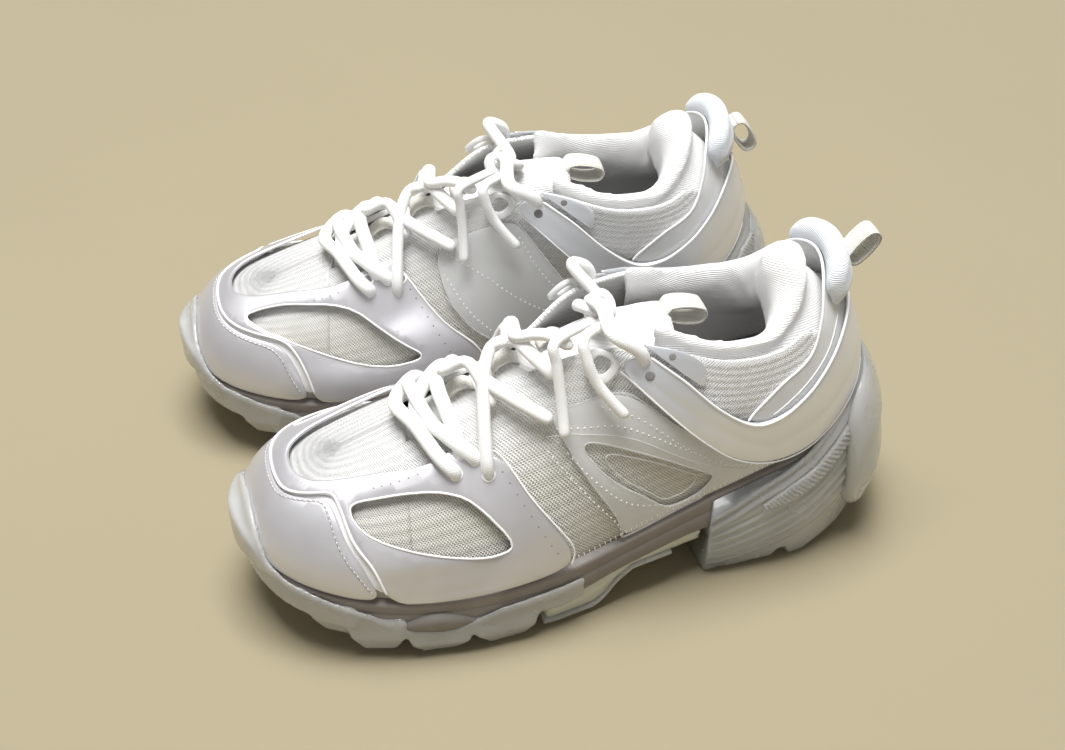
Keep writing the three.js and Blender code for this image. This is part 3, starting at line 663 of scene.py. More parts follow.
def film_material(name, clear, tint):
    paint = Paint(name, Roughness=0.22, Coat_Weight=0.5, Coat_Roughness=0.1)
    paint.mottle(42.0, tuple(c * 0.93 for c in tint), tint, 0.15, 3.0)
    edge = paint.node("LayerWeight", {"Blend": 0.35}).outputs["Facing"]
    paint.alpha(paint.ramp(edge, (0.15, 1 - clear), (0.85, min(1.0, 1.25 - clear))))
    paint.bump(paint.noise(paint.room, 420.0, 2.0), 0.0002, 0.2)
    return paint.material


def knit_material(name, base, period, depth=0.0006):
    """Fine ribs that run level round a padded piece."""
    paint = Paint(name, Roughness=0.8, Sheen_Weight=0.35, Subsurface_Weight=0.08)
    paint.main.inputs["Subsurface Radius"].default_value = (0.004, 0.004, 0.004)
    ribs = paint.bands(paint.room, period * MM, "Z", 1.2)
    low = tuple(c * 0.9 for c in base)
    paint.colour(paint.ramp(ribs, (0.1, low), (0.6, base)))
    paint.bump(ribs, depth, 0.8)
    paint.bump(paint.noise(paint.room, 1800.0, 3.0), 0.0002, 0.4)
    return paint.material


def webbing_material(name, base, dark):
    """Narrow woven tape: ribs across it and a fine weave between them."""
    paint = Paint(name, Roughness=0.8, Sheen_Weight=0.2)
    ribs = paint.bands(paint.uv, 1.0, "X", 0.3)
    weave = paint.bands(paint.uv, 0.7, "Y", 0.3)
    both = paint.math("MULTIPLY", ribs, weave)
    paint.colour(paint.ramp(both, (0.05, dark), (0.45, base)))
    paint.bump(ribs, 0.0004, 0.8)
    paint.bump(weave, 0.0002, 0.5)
    return paint.material


def lace_material():
    """A braided cord: two sets of strands that slant across each other."""
    paint = Paint("lace_braid", Roughness=0.75, Sheen_Weight=0.3, Subsurface_Weight=0.05)
    right = paint.bands(paint.turned(paint.uv, 62), 0.85, "X", 0.3)
    left = paint.bands(paint.turned(paint.uv, -62), 0.85, "X", 0.3)
    braid = paint.math("MAXIMUM", right, left)
    paint.colour(paint.ramp(braid, (0.3, (0.86, 0.855, 0.83)), (0.8, (0.96, 0.957, 0.945))))
    paint.bump(braid, 0.0003, 0.5)
    paint.bump(paint.noise(paint.room, 2500.0, 3.0), 0.0001, 0.3)
    return paint.material


def rubber_material(name, tint, murk, see_through):
    """Milky clear rubber: light passes through it and scatters."""
    paint = Paint(name, Roughness=0.22, IOR=1.42, Transmission_Weight=see_through, Coat_Weight=0.4)
    paint.main.inputs["Subsurface Weight"].default_value = 0.6
    paint.main.inputs["Subsurface Radius"].default_value = (0.012, 0.012, 0.011)
    paint.main.inputs["Subsurface Scale"].default_value = 1.0
    paint.mottle(30.0, murk, tint)
    paint.rough(paint.ramp(paint.noise(paint.room, 50.0), (0.3, 0.2), (0.7, 0.3)))
    paint.bump(paint.noise(paint.room, 900.0), 0.0001, 0.08)
    return paint.material


def foam_material():
    paint = Paint("foam", Roughness=0.62, Subsurface_Weight=0.1)
    paint.mottle(60.0, (0.235, 0.205, 0.19), (0.3, 0.27, 0.25), detail=3.0)
    paint.bump(paint.noise(paint.room, 1500.0, 4.0), 0.0002, 0.4)
    return paint.material


def weave_material(name, dark, light, period):
    paint = Paint(name, Roughness=0.9, Sheen_Weight=0.15)
    across = paint.bands(paint.room, period * MM, "X")
    along = paint.bands(paint.room, period * MM, "Y")
    both = paint.math("MULTIPLY", across, along)
    grain = paint.noise(paint.room, 700.0, 3.0)
    paint.colour(paint.ramp(paint.math("MULTIPLY", both, grain), (0.05, dark), (0.4, light)))
    paint.bump(both, 0.0005, 0.8)
    return paint.material


def mottled_material(name, scale, dark, light, **sockets):
    """A plain finish whose shade drifts a little."""
    paint = Paint(name, **sockets)
    paint.mottle(scale, dark, light)
    return paint.material


# Grey for the pressed groove along the toe cap's seam: painted shade. The plastic there is the same white.
GROOVE_SHADE = mottled_material("painted_groove_shade", 300.0, (0.42, 0.41, 0.42), (0.5, 0.49, 0.5), Roughness=0.5)
# One white moulded plastic in two copies. The darker lilac-grey one, for the toe cap, the cage and the seam
# stitches, is painted shade. The brighter bluish one, for the straps and eyestays, is painted light.
OVERLAY_PAINTED_SHADE = overlay_material("moulded_overlay", (0.66, 0.65, 0.675), (0.73, 0.725, 0.75))
STRAP_PAINTED_LIGHT = overlay_material("strap_overlay_painted_light", (0.81, 0.83, 0.875), (0.88, 0.895, 0.93))
HIGHLIGHT_BEAD = highlight_bead_material()
FILM = film_material("clear_film", 0.5, (0.95, 0.955, 0.95))
BLADE = film_material("blade_film", 0.35, (0.96, 0.965, 0.96))
CLEAR = film_material("clear_plastic", 0.7, (0.9, 0.9, 0.9))
KNIT = knit_material("collar_knit", (0.93, 0.93, 0.925), 0.85, 0.00018)
TAB_KNIT = knit_material("tab_knit", (0.83, 0.87, 0.92), 0.8, 0.0002)
WEBBING = webbing_material("webbing", (0.92, 0.91, 0.85), (0.76, 0.74, 0.66))
LACE = lace_material()
RUBBER = rubber_material("clear_rubber", (0.95, 0.955, 0.92), (0.86, 0.88, 0.85), 0.5)
SHANK = rubber_material("shank_rubber", (0.93, 0.96, 0.78), (0.88, 0.93, 0.70), 0.25)
FOAM = foam_material()
SOCKLINER = weave_material("sockliner_weave", (0.05, 0.05, 0.05), (0.42, 0.42, 0.41), 1.6)
BOARD = weave_material("board_weave", (0.45, 0.45, 0.43), (0.7, 0.7, 0.68), 1.2)
THREAD = mottled_material(
    "thread", 900.0, (0.82, 0.82, 0.8), (0.95, 0.95, 0.93), Roughness=0.6, Sheen_Weight=0.3
)
HOLE = mottled_material("hole_shade", 300.0, (0.22, 0.21, 0.21), (0.32, 0.31, 0.31), Roughness=0.8)
FLOOR = mottled_material("floor", 4.0, (0.322, 0.279, 0.183), (0.330, 0.286, 0.188), Roughness=0.9)


# ---------- placing pieces ----------
def put(shoe, name, shape, material, slot, nodes=(), body="shoe", ride=True):
    """Makes one shape into an object on one shoe."""
    mesh = bpy.data.meshes.new(f"{name}_{shoe.name}")
    faces = shape.faces if shoe.mirror > 0 else [face[::-1] for face in shape.faces]
    mesh.from_pydata(shoe.place(shape.points).tolist(), [], faces)
    if shape.uv is not None:
        layer = mesh.uv_layers.new(name="UVMap")
        corners = np.zeros(len(mesh.loops), np.int32)
        mesh.loops.foreach_get("vertex_index", corners)
        layer.data.foreach_set("uv", shape.uv[corners].astype(np.float32).ravel())
    clean = bmesh.new()
    clean.from_mesh(mesh)
    bmesh.ops.recalc_face_normals(clean, faces=clean.faces)
    clean.to_mesh(mesh)
    clean.free()
    mesh.polygons.foreach_set("use_smooth", [True] * len(mesh.polygons))
    piece = bpy.data.objects.new(f"{name}_{shoe.name}", mesh)
    bpy.context.scene.collection.objects.link(piece)
    mesh.materials.append(material)
    if ride:
        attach(piece, f"{shoe.name}_{body}")
    if nodes:
        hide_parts(*(f"{shoe.name}_{node}" for node in nodes))
    return piece


def put_both(name, shape, material, slot, nodes=(), **options):
    """Makes one shape into an object on each shoe."""
    return [put(shoe, name, shape, material, slot, nodes, **options) for shoe in SHOES]


def line_of(points, step=1.0):
    """A polyline in (k, h), with its points spaced evenly in millimetres."""
    p = smooth_path([(k, h, 0) for k, h in points], 0.02)[:, :2]
    run = distances(surface(p[:, 0], p[:, 1]))
    at = np.arange(0, run[-1], step)
    return np.stack([np.interp(at, run, p[:, i]) for i in (0, 1)], 1)


def stitches(points, lift, pitch=2.6, length=1.7, width=0.7, across=False):
    """A row of short raised stitches along a line in (k, h), or across it."""
    line = line_of(points, pitch)
    place = lifted(line[:, 0], line[:, 1], lift)
    by_k, by_h = tangents(line[:, 0], line[:, 1])
    normals = unit(np.cross(by_k, by_h))
    along = unit(np.gradient(place, axis=0))
    shapes = []
    for point, direction, normal in zip(place, along, normals):
        side = unit(np.cross(normal, direction))
        if across:
            direction, side = side, direction
        rings = []
        for t, size in ((-0.5, 0.35), (-0.3, 0.9), (0.3, 0.9), (0.5, 0.35)):
            centre = point + direction * length * t
            angle = np.arange(6) * math.pi / 3
            rings.append(
                centre
                + side * (np.cos(angle) * width / 2 * size)[:, None]
                + normal * (np.sin(angle) * width * 0.4 * size)[:, None]
            )
        shapes.append(stack(rings))
    return joined(shapes)


def bead(points, lift, width=1.1, closed=False, height=None):
    """A thin raised edge along a line in (k, h)."""
    if closed:
        loop = spaced(rounded(points), 1.5)
        loop = np.vstack([loop, loop[:2]])
    else:
        loop = line_of(points, 1.5)
    place = lifted(loop[:, 0], loop[:, 1], lift)
    by_k, by_h = tangents(loop[:1, 0], loop[:1, 1])
    return tube(place, width, height or width, sides=8, up=np.cross(by_k, by_h)[0])


def axes_at(k, h):
    """The surface's normal at a spot, and two directions along the surface."""
    by_k, by_h = tangents(np.float64(k), np.float64(h))
    normal = unit(np.cross(by_k, by_h))
    side = unit(by_h - normal * np.dot(by_h, normal))
    return normal, side, np.cross(normal, side)


def disc(k, h, lift, radius, height):
    """A small round dome on the upper."""
    centre = lifted(k, h, lift)
    normal, side, other = axes_at(k, h)
    angle = np.arange(14) * math.pi / 7
    rings = []
    for size, up in ((1.0, 0.0), (0.9, 0.6), (0.55, 0.95), (0.1, 1.0)):
        circle = side * (np.cos(angle) * radius * size)[:, None]
        circle = circle + other * (np.sin(angle) * radius * size)[:, None]
        rings.append(centre + circle + normal * height * up)
    return stack(rings)


def eyelet(k, h, lift, radius):
    """A raised ring round a lace hole."""
    centre = lifted(k, h, lift)
    normal, side, other = axes_at(k, h)
    angle = np.linspace(0, 2 * math.pi, 17)
    place = centre + side * (np.cos(angle) * radius)[:, None] + other * (np.sin(angle) * radius)[:, None]
    return tube(place, 1.2, 1.2, sides=8, up=normal, step=0.9)


# ---------- heights of the layers above the upper's surface ----------
GAP = 0.4
FILM_THICK = 1.0
CAGE_THICK = 1.5
MESH_TOP = -0.6
CAGE_LOW = 2 * GAP + FILM_THICK
CAGE_TOP = CAGE_LOW + CAGE_THICK
STRAP_LOW = GAP + FILM_THICK + 2 * GAP
STRAP_TOP = STRAP_LOW + CAGE_THICK
FILM_TOP = GAP + FILM_THICK


# ---------- laces ----------
# The free ends hang from the knot down one side, as (k, h, lift). The routes repeat the CAD's.
KNOT = np.array([15.0, 0.0, 129.0])
KNOT_EXIT = {"front": (10, 12, 130), "rear": (19, 12, 128.5)}
FREE_ENDS = {
    "front": [(6.7, 0.92, 14), (6.6, 0.82, 12), (6.5, 0.71, 9), (6.43, 0.62, 7.5), (6.37, 0.54, 7.5)],
    "rear": [(7.0, 0.95, 12), (6.93, 0.84, 12), (6.93, 0.74, 9), (7.02, 0.66, 7.5), (7.16, 0.59, 7.5)],
}
END_WIDTH = 4.8


def add_free_end(shoe, name, side):
    """One end of the lace: a cord that leaves the knot and hangs down the given side."""
    x, y, z = KNOT_EXIT[name]
    route = [(x, -side * y, z)]
    route += [lifted(side * k, h, lift) for k, h, lift in FREE_ENDS[name]]
    line = smooth_path(route, 2.0)
    shape = tube(line, END_WIDTH, END_WIDTH * 0.85, sides=14, step=2.0)
    piece = put(shoe, f"lace_end_{name}", shape, LACE, "lace_cord", [f"lace_end_{name}"])
    path = shoe.place(line)
    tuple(path[0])
    float(distances(path)[-1])


for shoe, lace_side in ((LEFT, 1), (RIGHT, -1)):
    for end in FREE_ENDS:
        add_free_end(shoe, end, lace_side)

# Each strand as (k, h, lift), from the far side of the throat to the side that the knot falls to.
STRAND = 6.5  # width of the flattened lace
STRAND_HEIGHT = STRAND * 0.8
KNOT_WIDTH, KNOT_HEIGHT = 5.4, 4.8  # of the cord inside the knot, which is pulled thinner
CORD_SIDES = 14
STRANDS = [
    [
        (-4.75, 0.64, 1), (-4.5, 0.8, 5.9), (4.01, 1.0, 7.2), (4.3, 0.81, 6.6), (4.56, 0.65, 6.1),
        (4.74, 0.575, 5.2), (4.8, 0.55, 0),
    ],
    [
        (-5.3, 0.62, 2), (-4.9, 0.85, 5.9), (4.38, 0.9, 6.3), (4.76, 0.7, 5.9), (5.05, 0.6, 4.5),
        (5.14, 0.56, 0),
    ],
    [(-4.6, 0.68, 3), (-4.4, 0.85, 6.8), (4.4, 1.0, 8.6), (4.47, 0.87, 7.2), (4.62, 0.74, 5)],
    [
        (-5.0, 0.72, 3), (-4.95, 0.87, 6.8), (4.85, 1.0, 8.6), (4.81, 0.89, 7.2), (4.87, 0.73, 5.5),
        (4.9, 0.6, 2),
    ],
    [
        (-5.9, 0.7, 3), (-6.1, 0.87, 6.3), (6.02, 1.0, 6.8), (5.77, 0.97, 7.2), (5.52, 0.85, 6.8),
        (5.35, 0.7, 6.3), (5.24, 0.55, 5.2), (5.22, 0.5, 0),
    ],
    [
        (-5.2, 0.8, 5), (-5.1, 0.93, 7.2), (5.0, 1.0, 9.5), (5.22, 0.99, 9.1), (5.38, 0.95, 8.2),
        (5.45, 0.85, 6.3), (5.5, 0.72, 4),
    ],
    [
        (-6.1, 0.75, 4), (-6.2, 0.9, 6.8), (6.2, 1.0, 8.2), (6.45, 0.99, 8.2), (6.63, 0.97, 7.7),
        (6.79, 0.9, 5.9),
    ],
    [(6.0, 1.0, 4), (6.16, 0.96, 5.9), (6.3, 0.86, 6.1), (6.47, 0.76, 4.5)],
    [(5.45, 0.87, 5.9), (5.62, 0.78, 6.3), (5.93, 0.68, 5.7), (6.25, 0.6, 3.5)],
    [(-7.5, 0.84, 1.5), (-7.5, 0.93, 5.9), (-7.3, 1.0, 6.8)],
]


def threaded(side):
    """All the strands of one lace, drawn towards the knot."""
    shapes = []
    for strand in STRANDS:
        path = [lifted(side * k, h, lift) for k, h, lift in strand]
        if len(strand) == 3:
            path += [(22, side * 9, 124), (16, 2 * side, 126)]
        shapes.append(tube(path, STRAND, STRAND_HEIGHT, sides=CORD_SIDES))
    top = [(14, 3, 131), (17, -side * 9, 133.5)]
    top += [lifted(side * k, h, lift) for k, h, lift in ((7.35, 1.0, 10), (7.6, 0.93, 7), (7.66, 0.85, 2))]
    shapes.append(tube(top, STRAND, STRAND_HEIGHT, sides=CORD_SIDES))
    return joined(shapes)


def lace_knot():
    """A tight overhand knot, pressed flat on the tongue."""
    turn = np.linspace(0, 2 * math.pi, 40)
    x = np.sin(turn) + 1.9 * np.sin(2 * turn)
    y = np.cos(turn) - 1.9 * np.cos(2 * turn)
    z = -np.sin(3 * turn)
    path = KNOT + np.stack([x * 2.7 + 2, y * 3.2, z * 2.6 - 2.5], 1)
    return tube(path, KNOT_WIDTH, KNOT_HEIGHT, sides=CORD_SIDES)


for shoe, lace_side in ((LEFT, 1), (RIGHT, -1)):
    put(shoe, "lace", threaded(lace_side), LACE, "lace_cord", ["lace"])
    put(shoe, "lace_knot", lace_knot(), LACE, "lace_cord", ["lace_knot"])


# ---------- bottom unit ----------
def beside_foot(k, margin, z):
    """A point outside the foot outline at station k."""
    base = along_ring(FOOT, k) + outward(k) * margin
    return np.array([base[0], base[1], z])


def table(rows, value):
    xs, ys = zip(*rows)
    return float(np.interp(value, xs, ys))


def slab(levels, step=0.25):
    """A solid stacked from levels, each a height and a margin as functions of the station."""
    stations = np.arange(0, RING, step)
    rings = []
    for height, margin in levels:
        rings.append([beside_foot(k, margin(k), height(k)) for k in stations])
    return stack(rings[::-1])


def near(k):
    """The station counted from the toe on either side."""
    return min(k % RING, RING - k % RING)


def foot_z(k):
    return float(along_ring(FOOT, k)[2])


MIDSOLE_UNDER = [
    (0, 30), (1, 28), (2, 24), (3, 20), (4, 17), (5, 16), (6, 14), (7, 22), (8, 28), (9, 32), (10, 36),
    (11, 40), (12, 42),
]


def midsole():
    """Foam under the upper: a lip, a drawn-in waist and a rounded lower edge."""
    under = lambda k: table(MIDSOLE_UNDER, near(k))
    part = lambda share: lambda k: foot_z(k) - GAP - (foot_z(k) - GAP - under(k)) * share
    margins = [(0.0, 1.4), (0.04, 2.3), (0.1, 2.5), (0.34, 2.4), (0.4, 1.9), (0.46, 2.5), (0.7, 2.6),
               (0.9, 2.4), (0.97, 1.8), (1.0, 0.8)]
    return slab([(part(share), lambda k, m=m: m) for share, m in margins])


RIM = [
    (0, 55), (0.9, 51), (1.35, 45), (1.8, 40), (2.4, 36), (3.3, 28), (3.6, 22), (3.9, 17), (4.5, 15),
    (4.85, 20), (5.2, 24), (6.4, 28),
]
PLATE = [(0, 30), (1, 25), (2, 20), (3, 15), (4, 12), (5, 11), (6, 11), (7, 10)]
# Tread blocks: x and z of the lower face, then of the upper end.
BLOCKS = [
    ((-136, -126, 22), (-140, -121, 37)),
    ((-117, -107, 11), (-124, -103, 31)),
    ((-102, -88, 2), (-109, -83, 24)),
    ((-77, -61, 0), (-84, -55, 16)),
    ((-48, -31, 0), (-56, -25, 19)),
]
# The lip that the rubber sends up the front of the toe cap, in station and height.
TOE_BUMPER = [
    (1.5, 0.0), (1.3, 0.11), (1.0, 0.22), (0.6, 0.29), (0.1, 0.31), (-0.4, 0.29), (-0.9, 0.2),
    (-1.3, 0.1), (-1.6, 0.0),
]


def outline_y(x, side):
    """How far the foot outline stands out at x. Side is -1 outside and 1 inside."""
    rows = [(row[0], row[1] if side < 0 else row[2]) for row in STATIONS]
    return table(rows, x)


def tread_block(low, high, side):
    points = []
    (x0, x1, z0), (x2, x3, z1) = low, high
    middle = (z0 + z1) / 2
    for x, z, out in (
        (x0 + 2, z0, 0.5), (x1 - 2, z0, 0.5), (x0, z0 + 2, 3), (x1, z0 + 2, 3), (x2 + 2, middle, 6),
        (x3 - 2, middle, 6), (x2, z1 - 2, 5.2), (x3, z1 - 2, 5.2), (x2 + 2, z1, 3.4), (x3 - 2, z1, 3.4),
    ):
        points.append((x, outline_y(x, side) + side * out, z))
        points.append((x, side * 11, z))
    return hull(points)


FOREFOOT_REACH = (-160, -23)  # x of the toe and of the cup's rear edge


def forefoot_rubber():
    """The cup round the forefoot with its tread blocks, moulded in one."""
    stations = np.linspace(-6.35, 6.35, 110)

    def section(k):
        a = near(k)
        rim, plate, under = table(RIM, a), table(PLATE, a), table(MIDSOLE_UNDER, a)
        toe = max(0.0, 1 - a / 1.6)
        out = 4.6 + 2.4 * toe
        inner = 2.9 - 1.2 * toe
        web = inner + 1.4
        low = rim - 5 - 17 * toe
        under = min(under, low - 1)
        rows = [
            (inner, under + 0.5), (inner, rim - 0.5), (inner + 0.9, rim + 0.4), (out - 0.6, rim),
            (out, rim - 1.4), (out + 0.1, (rim + low) / 2), (out, low + 1), (out - 0.8, low),
            (web + 0.1, low - 0.6), (web, under), (-3, under - 1.5), (-7, (under + plate) / 2),
            (-8, plate), (-11, plate), (-11, under - 1),
        ]
        return [beside_foot(k, m, z) for m, z in rows]

    shapes = [capped_sweep(section, stations)]
    floor_levels = [(lambda k: table(MIDSOLE_UNDER, near(k)) - 1, lambda k: -6.0),
                    (lambda k: table(PLATE, near(k)), lambda k: -9.0)]
    floor = slab(floor_levels, 0.5)
    floor.points[:, 0] = np.clip(floor.points[:, 0], *FOREFOOT_REACH)
    shapes.append(floor)
    for low, high in BLOCKS:
        shapes += [tread_block(low, high, -1), tread_block(low, high, 1)]
    shapes.append(patch(TOE_BUMPER, 2.7, 4.8, soft=1.4, fill=3))
    return fused(shapes, 0.9, 4)


def midsole_lens():
    """The lens-shaped swelling of the foam where the rubber rim dips."""
    shapes = []
    for side in (1, -1):
        rings = []
        for t in np.linspace(0, 1, 17):
            k = side * (3.62 + 1.3 * t)
            swell = math.sin(math.pi * t)
            low, high = 17 - 2 * swell, 17.5 + 8.5 * swell
            rings.append([
                beside_foot(k, 1.5, high), beside_foot(k, 3.0 + 1.0 * swell, high - 0.8 * swell),
                beside_foot(k, 3.2 + 1.7 * swell, (low + high) / 2), beside_foot(k, 3.0 + 1.0 * swell, low),
                beside_foot(k, 1.5, low),
            ])
        shapes.append(stack(rings if side > 0 else rings[::-1]))
    return joined(shapes)


SHANK_TOP = [(-27, 19), (-20, 17), (-7, 17), (3, 23), (25, 27), (56, 34)]
SHANK_LOW = [(-27, 5), (-22, 2), (2, 2), (7, 5), (13, 12.5), (21, 18), (45, 19), (56, 20)]


def shank_section(x, grow):
    top, low = table(SHANK_TOP, x) - 0.4 + grow * 0.2, table(SHANK_LOW, x) + 1.4 - grow
    outer, inner = outline_y(x, -1) - 1.0 - grow, outline_y(x, 1) + 1.0 + grow
    middle = low + (top - low) * 0.5
    heights = [(3, top), (0, top - 1.5), (-0.8, middle), (0.6, low + 1), (3, low)]
    rows = [(x, outer + inward, z) for inward, z in heights]
    return rows + [(x, inner - inward, z) for inward, z in heights[::-1]]


def shank():
    core = capped_sweep(lambda x: shank_section(x, 0), np.linspace(-21.5, 54, 40))
    lip_rings = []
    for x in np.linspace(-22.5, 40, 30):
        low = table(SHANK_LOW, x)
        outer, inner = outline_y(x, -1) - 2.4, outline_y(x, 1) + 2.4
        lip = [(1.5, low + 3), (0, low + 2), (1, low)]
        outer_half = [(x, outer + inward, z) for inward, z in lip]
        lip_rings.append(outer_half + [(x, inner - inward, z) for inward, z in lip[::-1]])
    return fused([core], 1.2, 2), stack(lip_rings)


HEEL_RIM = [(8.3, 36), (8.7, 41), (9, 46), (9.5, 53), (10, 62), (10.5, 74), (11, 86), (12, 91)]
LEAN = 9 / 60  # how much the upper leans in for each millimetre above the foot line
HEEL_BELLY = [(8.3, 4), (9, 7), (10, 10), (11, 12), (12, 12)]
HEEL_LOW = [
    (48, 8), (58, 0), (90, 1.5), (93, 6), (97, 6), (99.5, 0), (106, 0), (120, 5), (136, 10), (150, 15),
]


def heel_margin(k, z):
    """How far the heel unit's side stands outside the foot outline at a height."""
    a = near(k)
    rim, belly = table(HEEL_RIM, a), table(HEEL_BELLY, a)
    drop = min(1.0, max(0.0, (rim - z) / rim))
    top = 4.6 + 1.6 * max(0.0, 1 - abs(a - 12) / 2)
    lean = LEAN * max(0.0, z - foot_z(k))
    bulge = math.sin(min(1.0, drop / 0.55) * math.pi / 2)
    foot = max(0.0, drop - 0.6) / 0.4
    return top - lean + (belly - top) * bulge - 2.5 * foot


def heel_low(x):
    return table(HEEL_LOW, x)


def heel_point(k, z, lift=0.0):
    return beside_foot(k, heel_margin(k, z) + lift, z)


RIDGES = 6


def ridge(x, z):
    """Long terraced ridges that fan out from the lower front of the heel unit to its back."""
    share = min(1.0, max(0.0, (x - 54) / 84))
    lowest = 3 + 34 * share**1.9
    spacing = 4.4 + 3.0 * share
    count = (z - lowest) / spacing
    if not 0 < count < RIDGES:
        return 0.0
    step = count - math.floor(count)
    ends = min(1.0, count * 1.5, (RIDGES - count) * 1.5, (x - 54) / 10 + 0.2, max(0.0, (137 - x) / 12))
    return 1.5 * ends * (step**1.5 if step < 0.86 else (1 - step) / 0.14 * 0.8)


HEEL_ROWS = 72


def heel_section(k):
    a = near(k)
    rim = table(HEEL_RIM, a)
    low = heel_low(float(beside_foot(k, 6, 0)[0]))
    inner = 3.0 - LEAN * max(0.0, rim - foot_z(k))
    rows = [beside_foot(k, inner, rim - 0.8), heel_point(k, rim, -0.8), heel_point(k, rim - 1.2, 0.3)]
    for share in np.linspace(0.03, 0.97, HEEL_ROWS):
        z = rim - 1.2 + (low - rim + 1.2) * share
        point = heel_point(k, z)
        lip = 0.9 * math.exp(-(((rim - z - 6.5) / 1.3) ** 2)) - 0.5 * math.exp(-(((rim - z - 4) / 1.2) ** 2))
        rows.append(heel_point(k, z, lip + ridge(point[0], z)))
    rows.append(heel_point(k, low, -1.8))
    rows += [beside_foot(k, -14, low + 0.5), beside_foot(k, -14, foot_z(k) - 26)]
    rows += [beside_foot(k, 2.9, foot_z(k) - 25), beside_foot(k, 2.9, foot_z(k) - 2)]
    return rows


# The fin's section at the back of the heel: distance outside the foot outline, and height.
FIN = [
    (9, 18), (12, 14), (16.5, 18), (19.3, 28), (20, 40), (18.5, 54), (15.5, 67), (10.5, 79), (6, 84),
    (5, 78), (8, 66), (10, 50), (9.5, 32),
]
FIN_END, FIN_FAR_END = 10.55, 12.75
HEEL_MIDDLE = np.array([90.0, 0.0, 0.0])


def fin_section(k):
    reach = min(1.0, (k - FIN_END) / 0.5, (FIN_FAR_END - k) / 0.5)
    size = math.sqrt(max(0.03, 1 - (1 - reach) ** 2))
    centre = np.array([12.5, 44.0])
    points = [centre + (np.array(p) - centre) * [0.5 + 0.5 * size, 0.35 + 0.65 * size] for p in FIN]
    smooth = closed_curve([(m, z, 0) for m, z in points], 5)
    rows = []
    for m, z, _ in smooth:
        groove = 0.9 * math.exp(-(((m - 18.5) / 1.2) ** 2)) * (1 if z < 60 else 0)
        rows.append(beside_foot(k, m - groove, z))
    return rows


def heel_block(x0, x1):
    """A part of the heel's underside, with a drawn-in front and back."""
    points = []
    for x, low in ((x0, heel_low(x0 + 1)), (x1, heel_low(x1 - 1))):
        for z in (low + 0.3, 30):
            points += [(x, outline_y(x, -1) - 3, z), (x, outline_y(x, 1) + 3, z)]
    return hull(points)


HEEL_UNIT_END = 8.35  # the station where the cup stops, on each side


def heel_rubber():
    """The heel unit: a tall cup with long moulded ridges, and a fin round its back."""
    shapes = [capped_sweep(heel_section, np.linspace(HEEL_UNIT_END, RING - HEEL_UNIT_END, 240))]
    shapes.append(capped_sweep(fin_section, np.linspace(FIN_END + 0.01, FIN_FAR_END - 0.01, 70)))
    blocks = [heel_block(x0, x1) for x0, x1 in ((58, 76), (76, 91), (99, 112), (112, 130))]
    shapes.append(fused(blocks, 1.5, 2))
    return joined(shapes)


BAND_ROWS, BAND_COLUMNS = 230, 22
BAND_START, BAND_REACH = 9.15, 2.35  # in stations
BAND_LENGTH, BAND_HALF = 96, 3.9
DIAMOND_PITCH = math.pi / 1.25
DIAMOND_HEIGHT = 1.2
BAND_LIFT, BAND_DEPTH = 1.6, 3.0


def crosshatch_band():
    """A band of small raised diamonds below the heel unit's rim."""
    shapes = []
    turn = math.pi / DIAMOND_PITCH
    for side in (1, -1):
        points, uv = [], []
        for i in range(BAND_ROWS + 1):
            t = i / BAND_ROWS
            k = side * (BAND_START + BAND_REACH * t)
            middle = table(HEEL_RIM, near(k)) - 9.5 - 3 * math.sin(math.pi * t)
            half = BAND_HALF * min(1.0, 4 * t + 0.25, 4 * (1 - t) + 0.25)
            for j in range(BAND_COLUMNS + 1):
                s = j / BAND_COLUMNS * 2 - 1
                along, over = t * BAND_LENGTH, s * half
                diamonds = abs(math.sin((along + over) * turn)) * abs(math.sin((along - over) * turn))
                edge = min(1.0, (1 - abs(s)) * 6)
                points.append(heel_point(k, middle + over, BAND_LIFT + DIAMOND_HEIGHT * diamonds * edge))
                uv.append((along, over))
        top = np.array(points)
        inward = HEEL_MIDDLE - top
        inward[:, 2] = 0
        under = top + unit(inward) * BAND_DEPTH
        shapes.append(closed_grid(top, under, BAND_ROWS, BAND_COLUMNS, np.array(uv)))
    return joined(shapes)


put_both("midsole", midsole(), FOAM, "foam", ["midsole"])
put_both("midsole_lens", midsole_lens(), FOAM, "foam")
put_both("outsole_forefoot", forefoot_rubber(), RUBBER, "clear_rubber", ["outsole_forefoot"])
shank_core, shank_lip = shank()
put_both("shank", shank_core, SHANK, "shank_rubber", ["shank"])
put_both("shank_lip", shank_lip, RUBBER, "clear_rubber")
put_both("outsole_heel", heel_rubber(), RUBBER, "clear_rubber", ["outsole_heel", "heel_fender"])
put_both("heel_crosshatch", crosshatch_band(), RUBBER, "clear_rubber")
for shoe in SHOES:
    for node, material in (("sockliner", SOCKLINER), ("insole_board", BOARD)):
        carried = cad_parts[f"{shoe.name}_{node}"]
        carried.data.materials.clear()
        carried.data.materials.append(material)


# ---------- inner mesh ----------
def sheet_between(rows, columns, spot, low, high):
    """A closed sheet over a grid of (k, h) spots, between two heights given as functions."""
    spots = np.array([[spot(i / rows, j / columns) for j in range(columns + 1)] for i in range(rows + 1)])
    k, h = spots[..., 0], spots[..., 1]
    top = lifted(k, h, high(k, h)).reshape(-1, 3)
    under = lifted(k, h, low(k, h)).reshape(-1, 3)
    flat = np.stack([k * K_SCALE, h * H_SCALE], -1).reshape(-1, 2)
    return closed_grid(top, under, rows, columns, flat)


VAMP_END = 3.9
QUARTER_EDGE = [(VAMP_END, 0.8), (6, 0.8), (7.2, 0.9), (7.9, 0.96), (10.3, 0.96), (11, 0.7), (HEEL, 0.66)]
MESH_THICK = 2.2


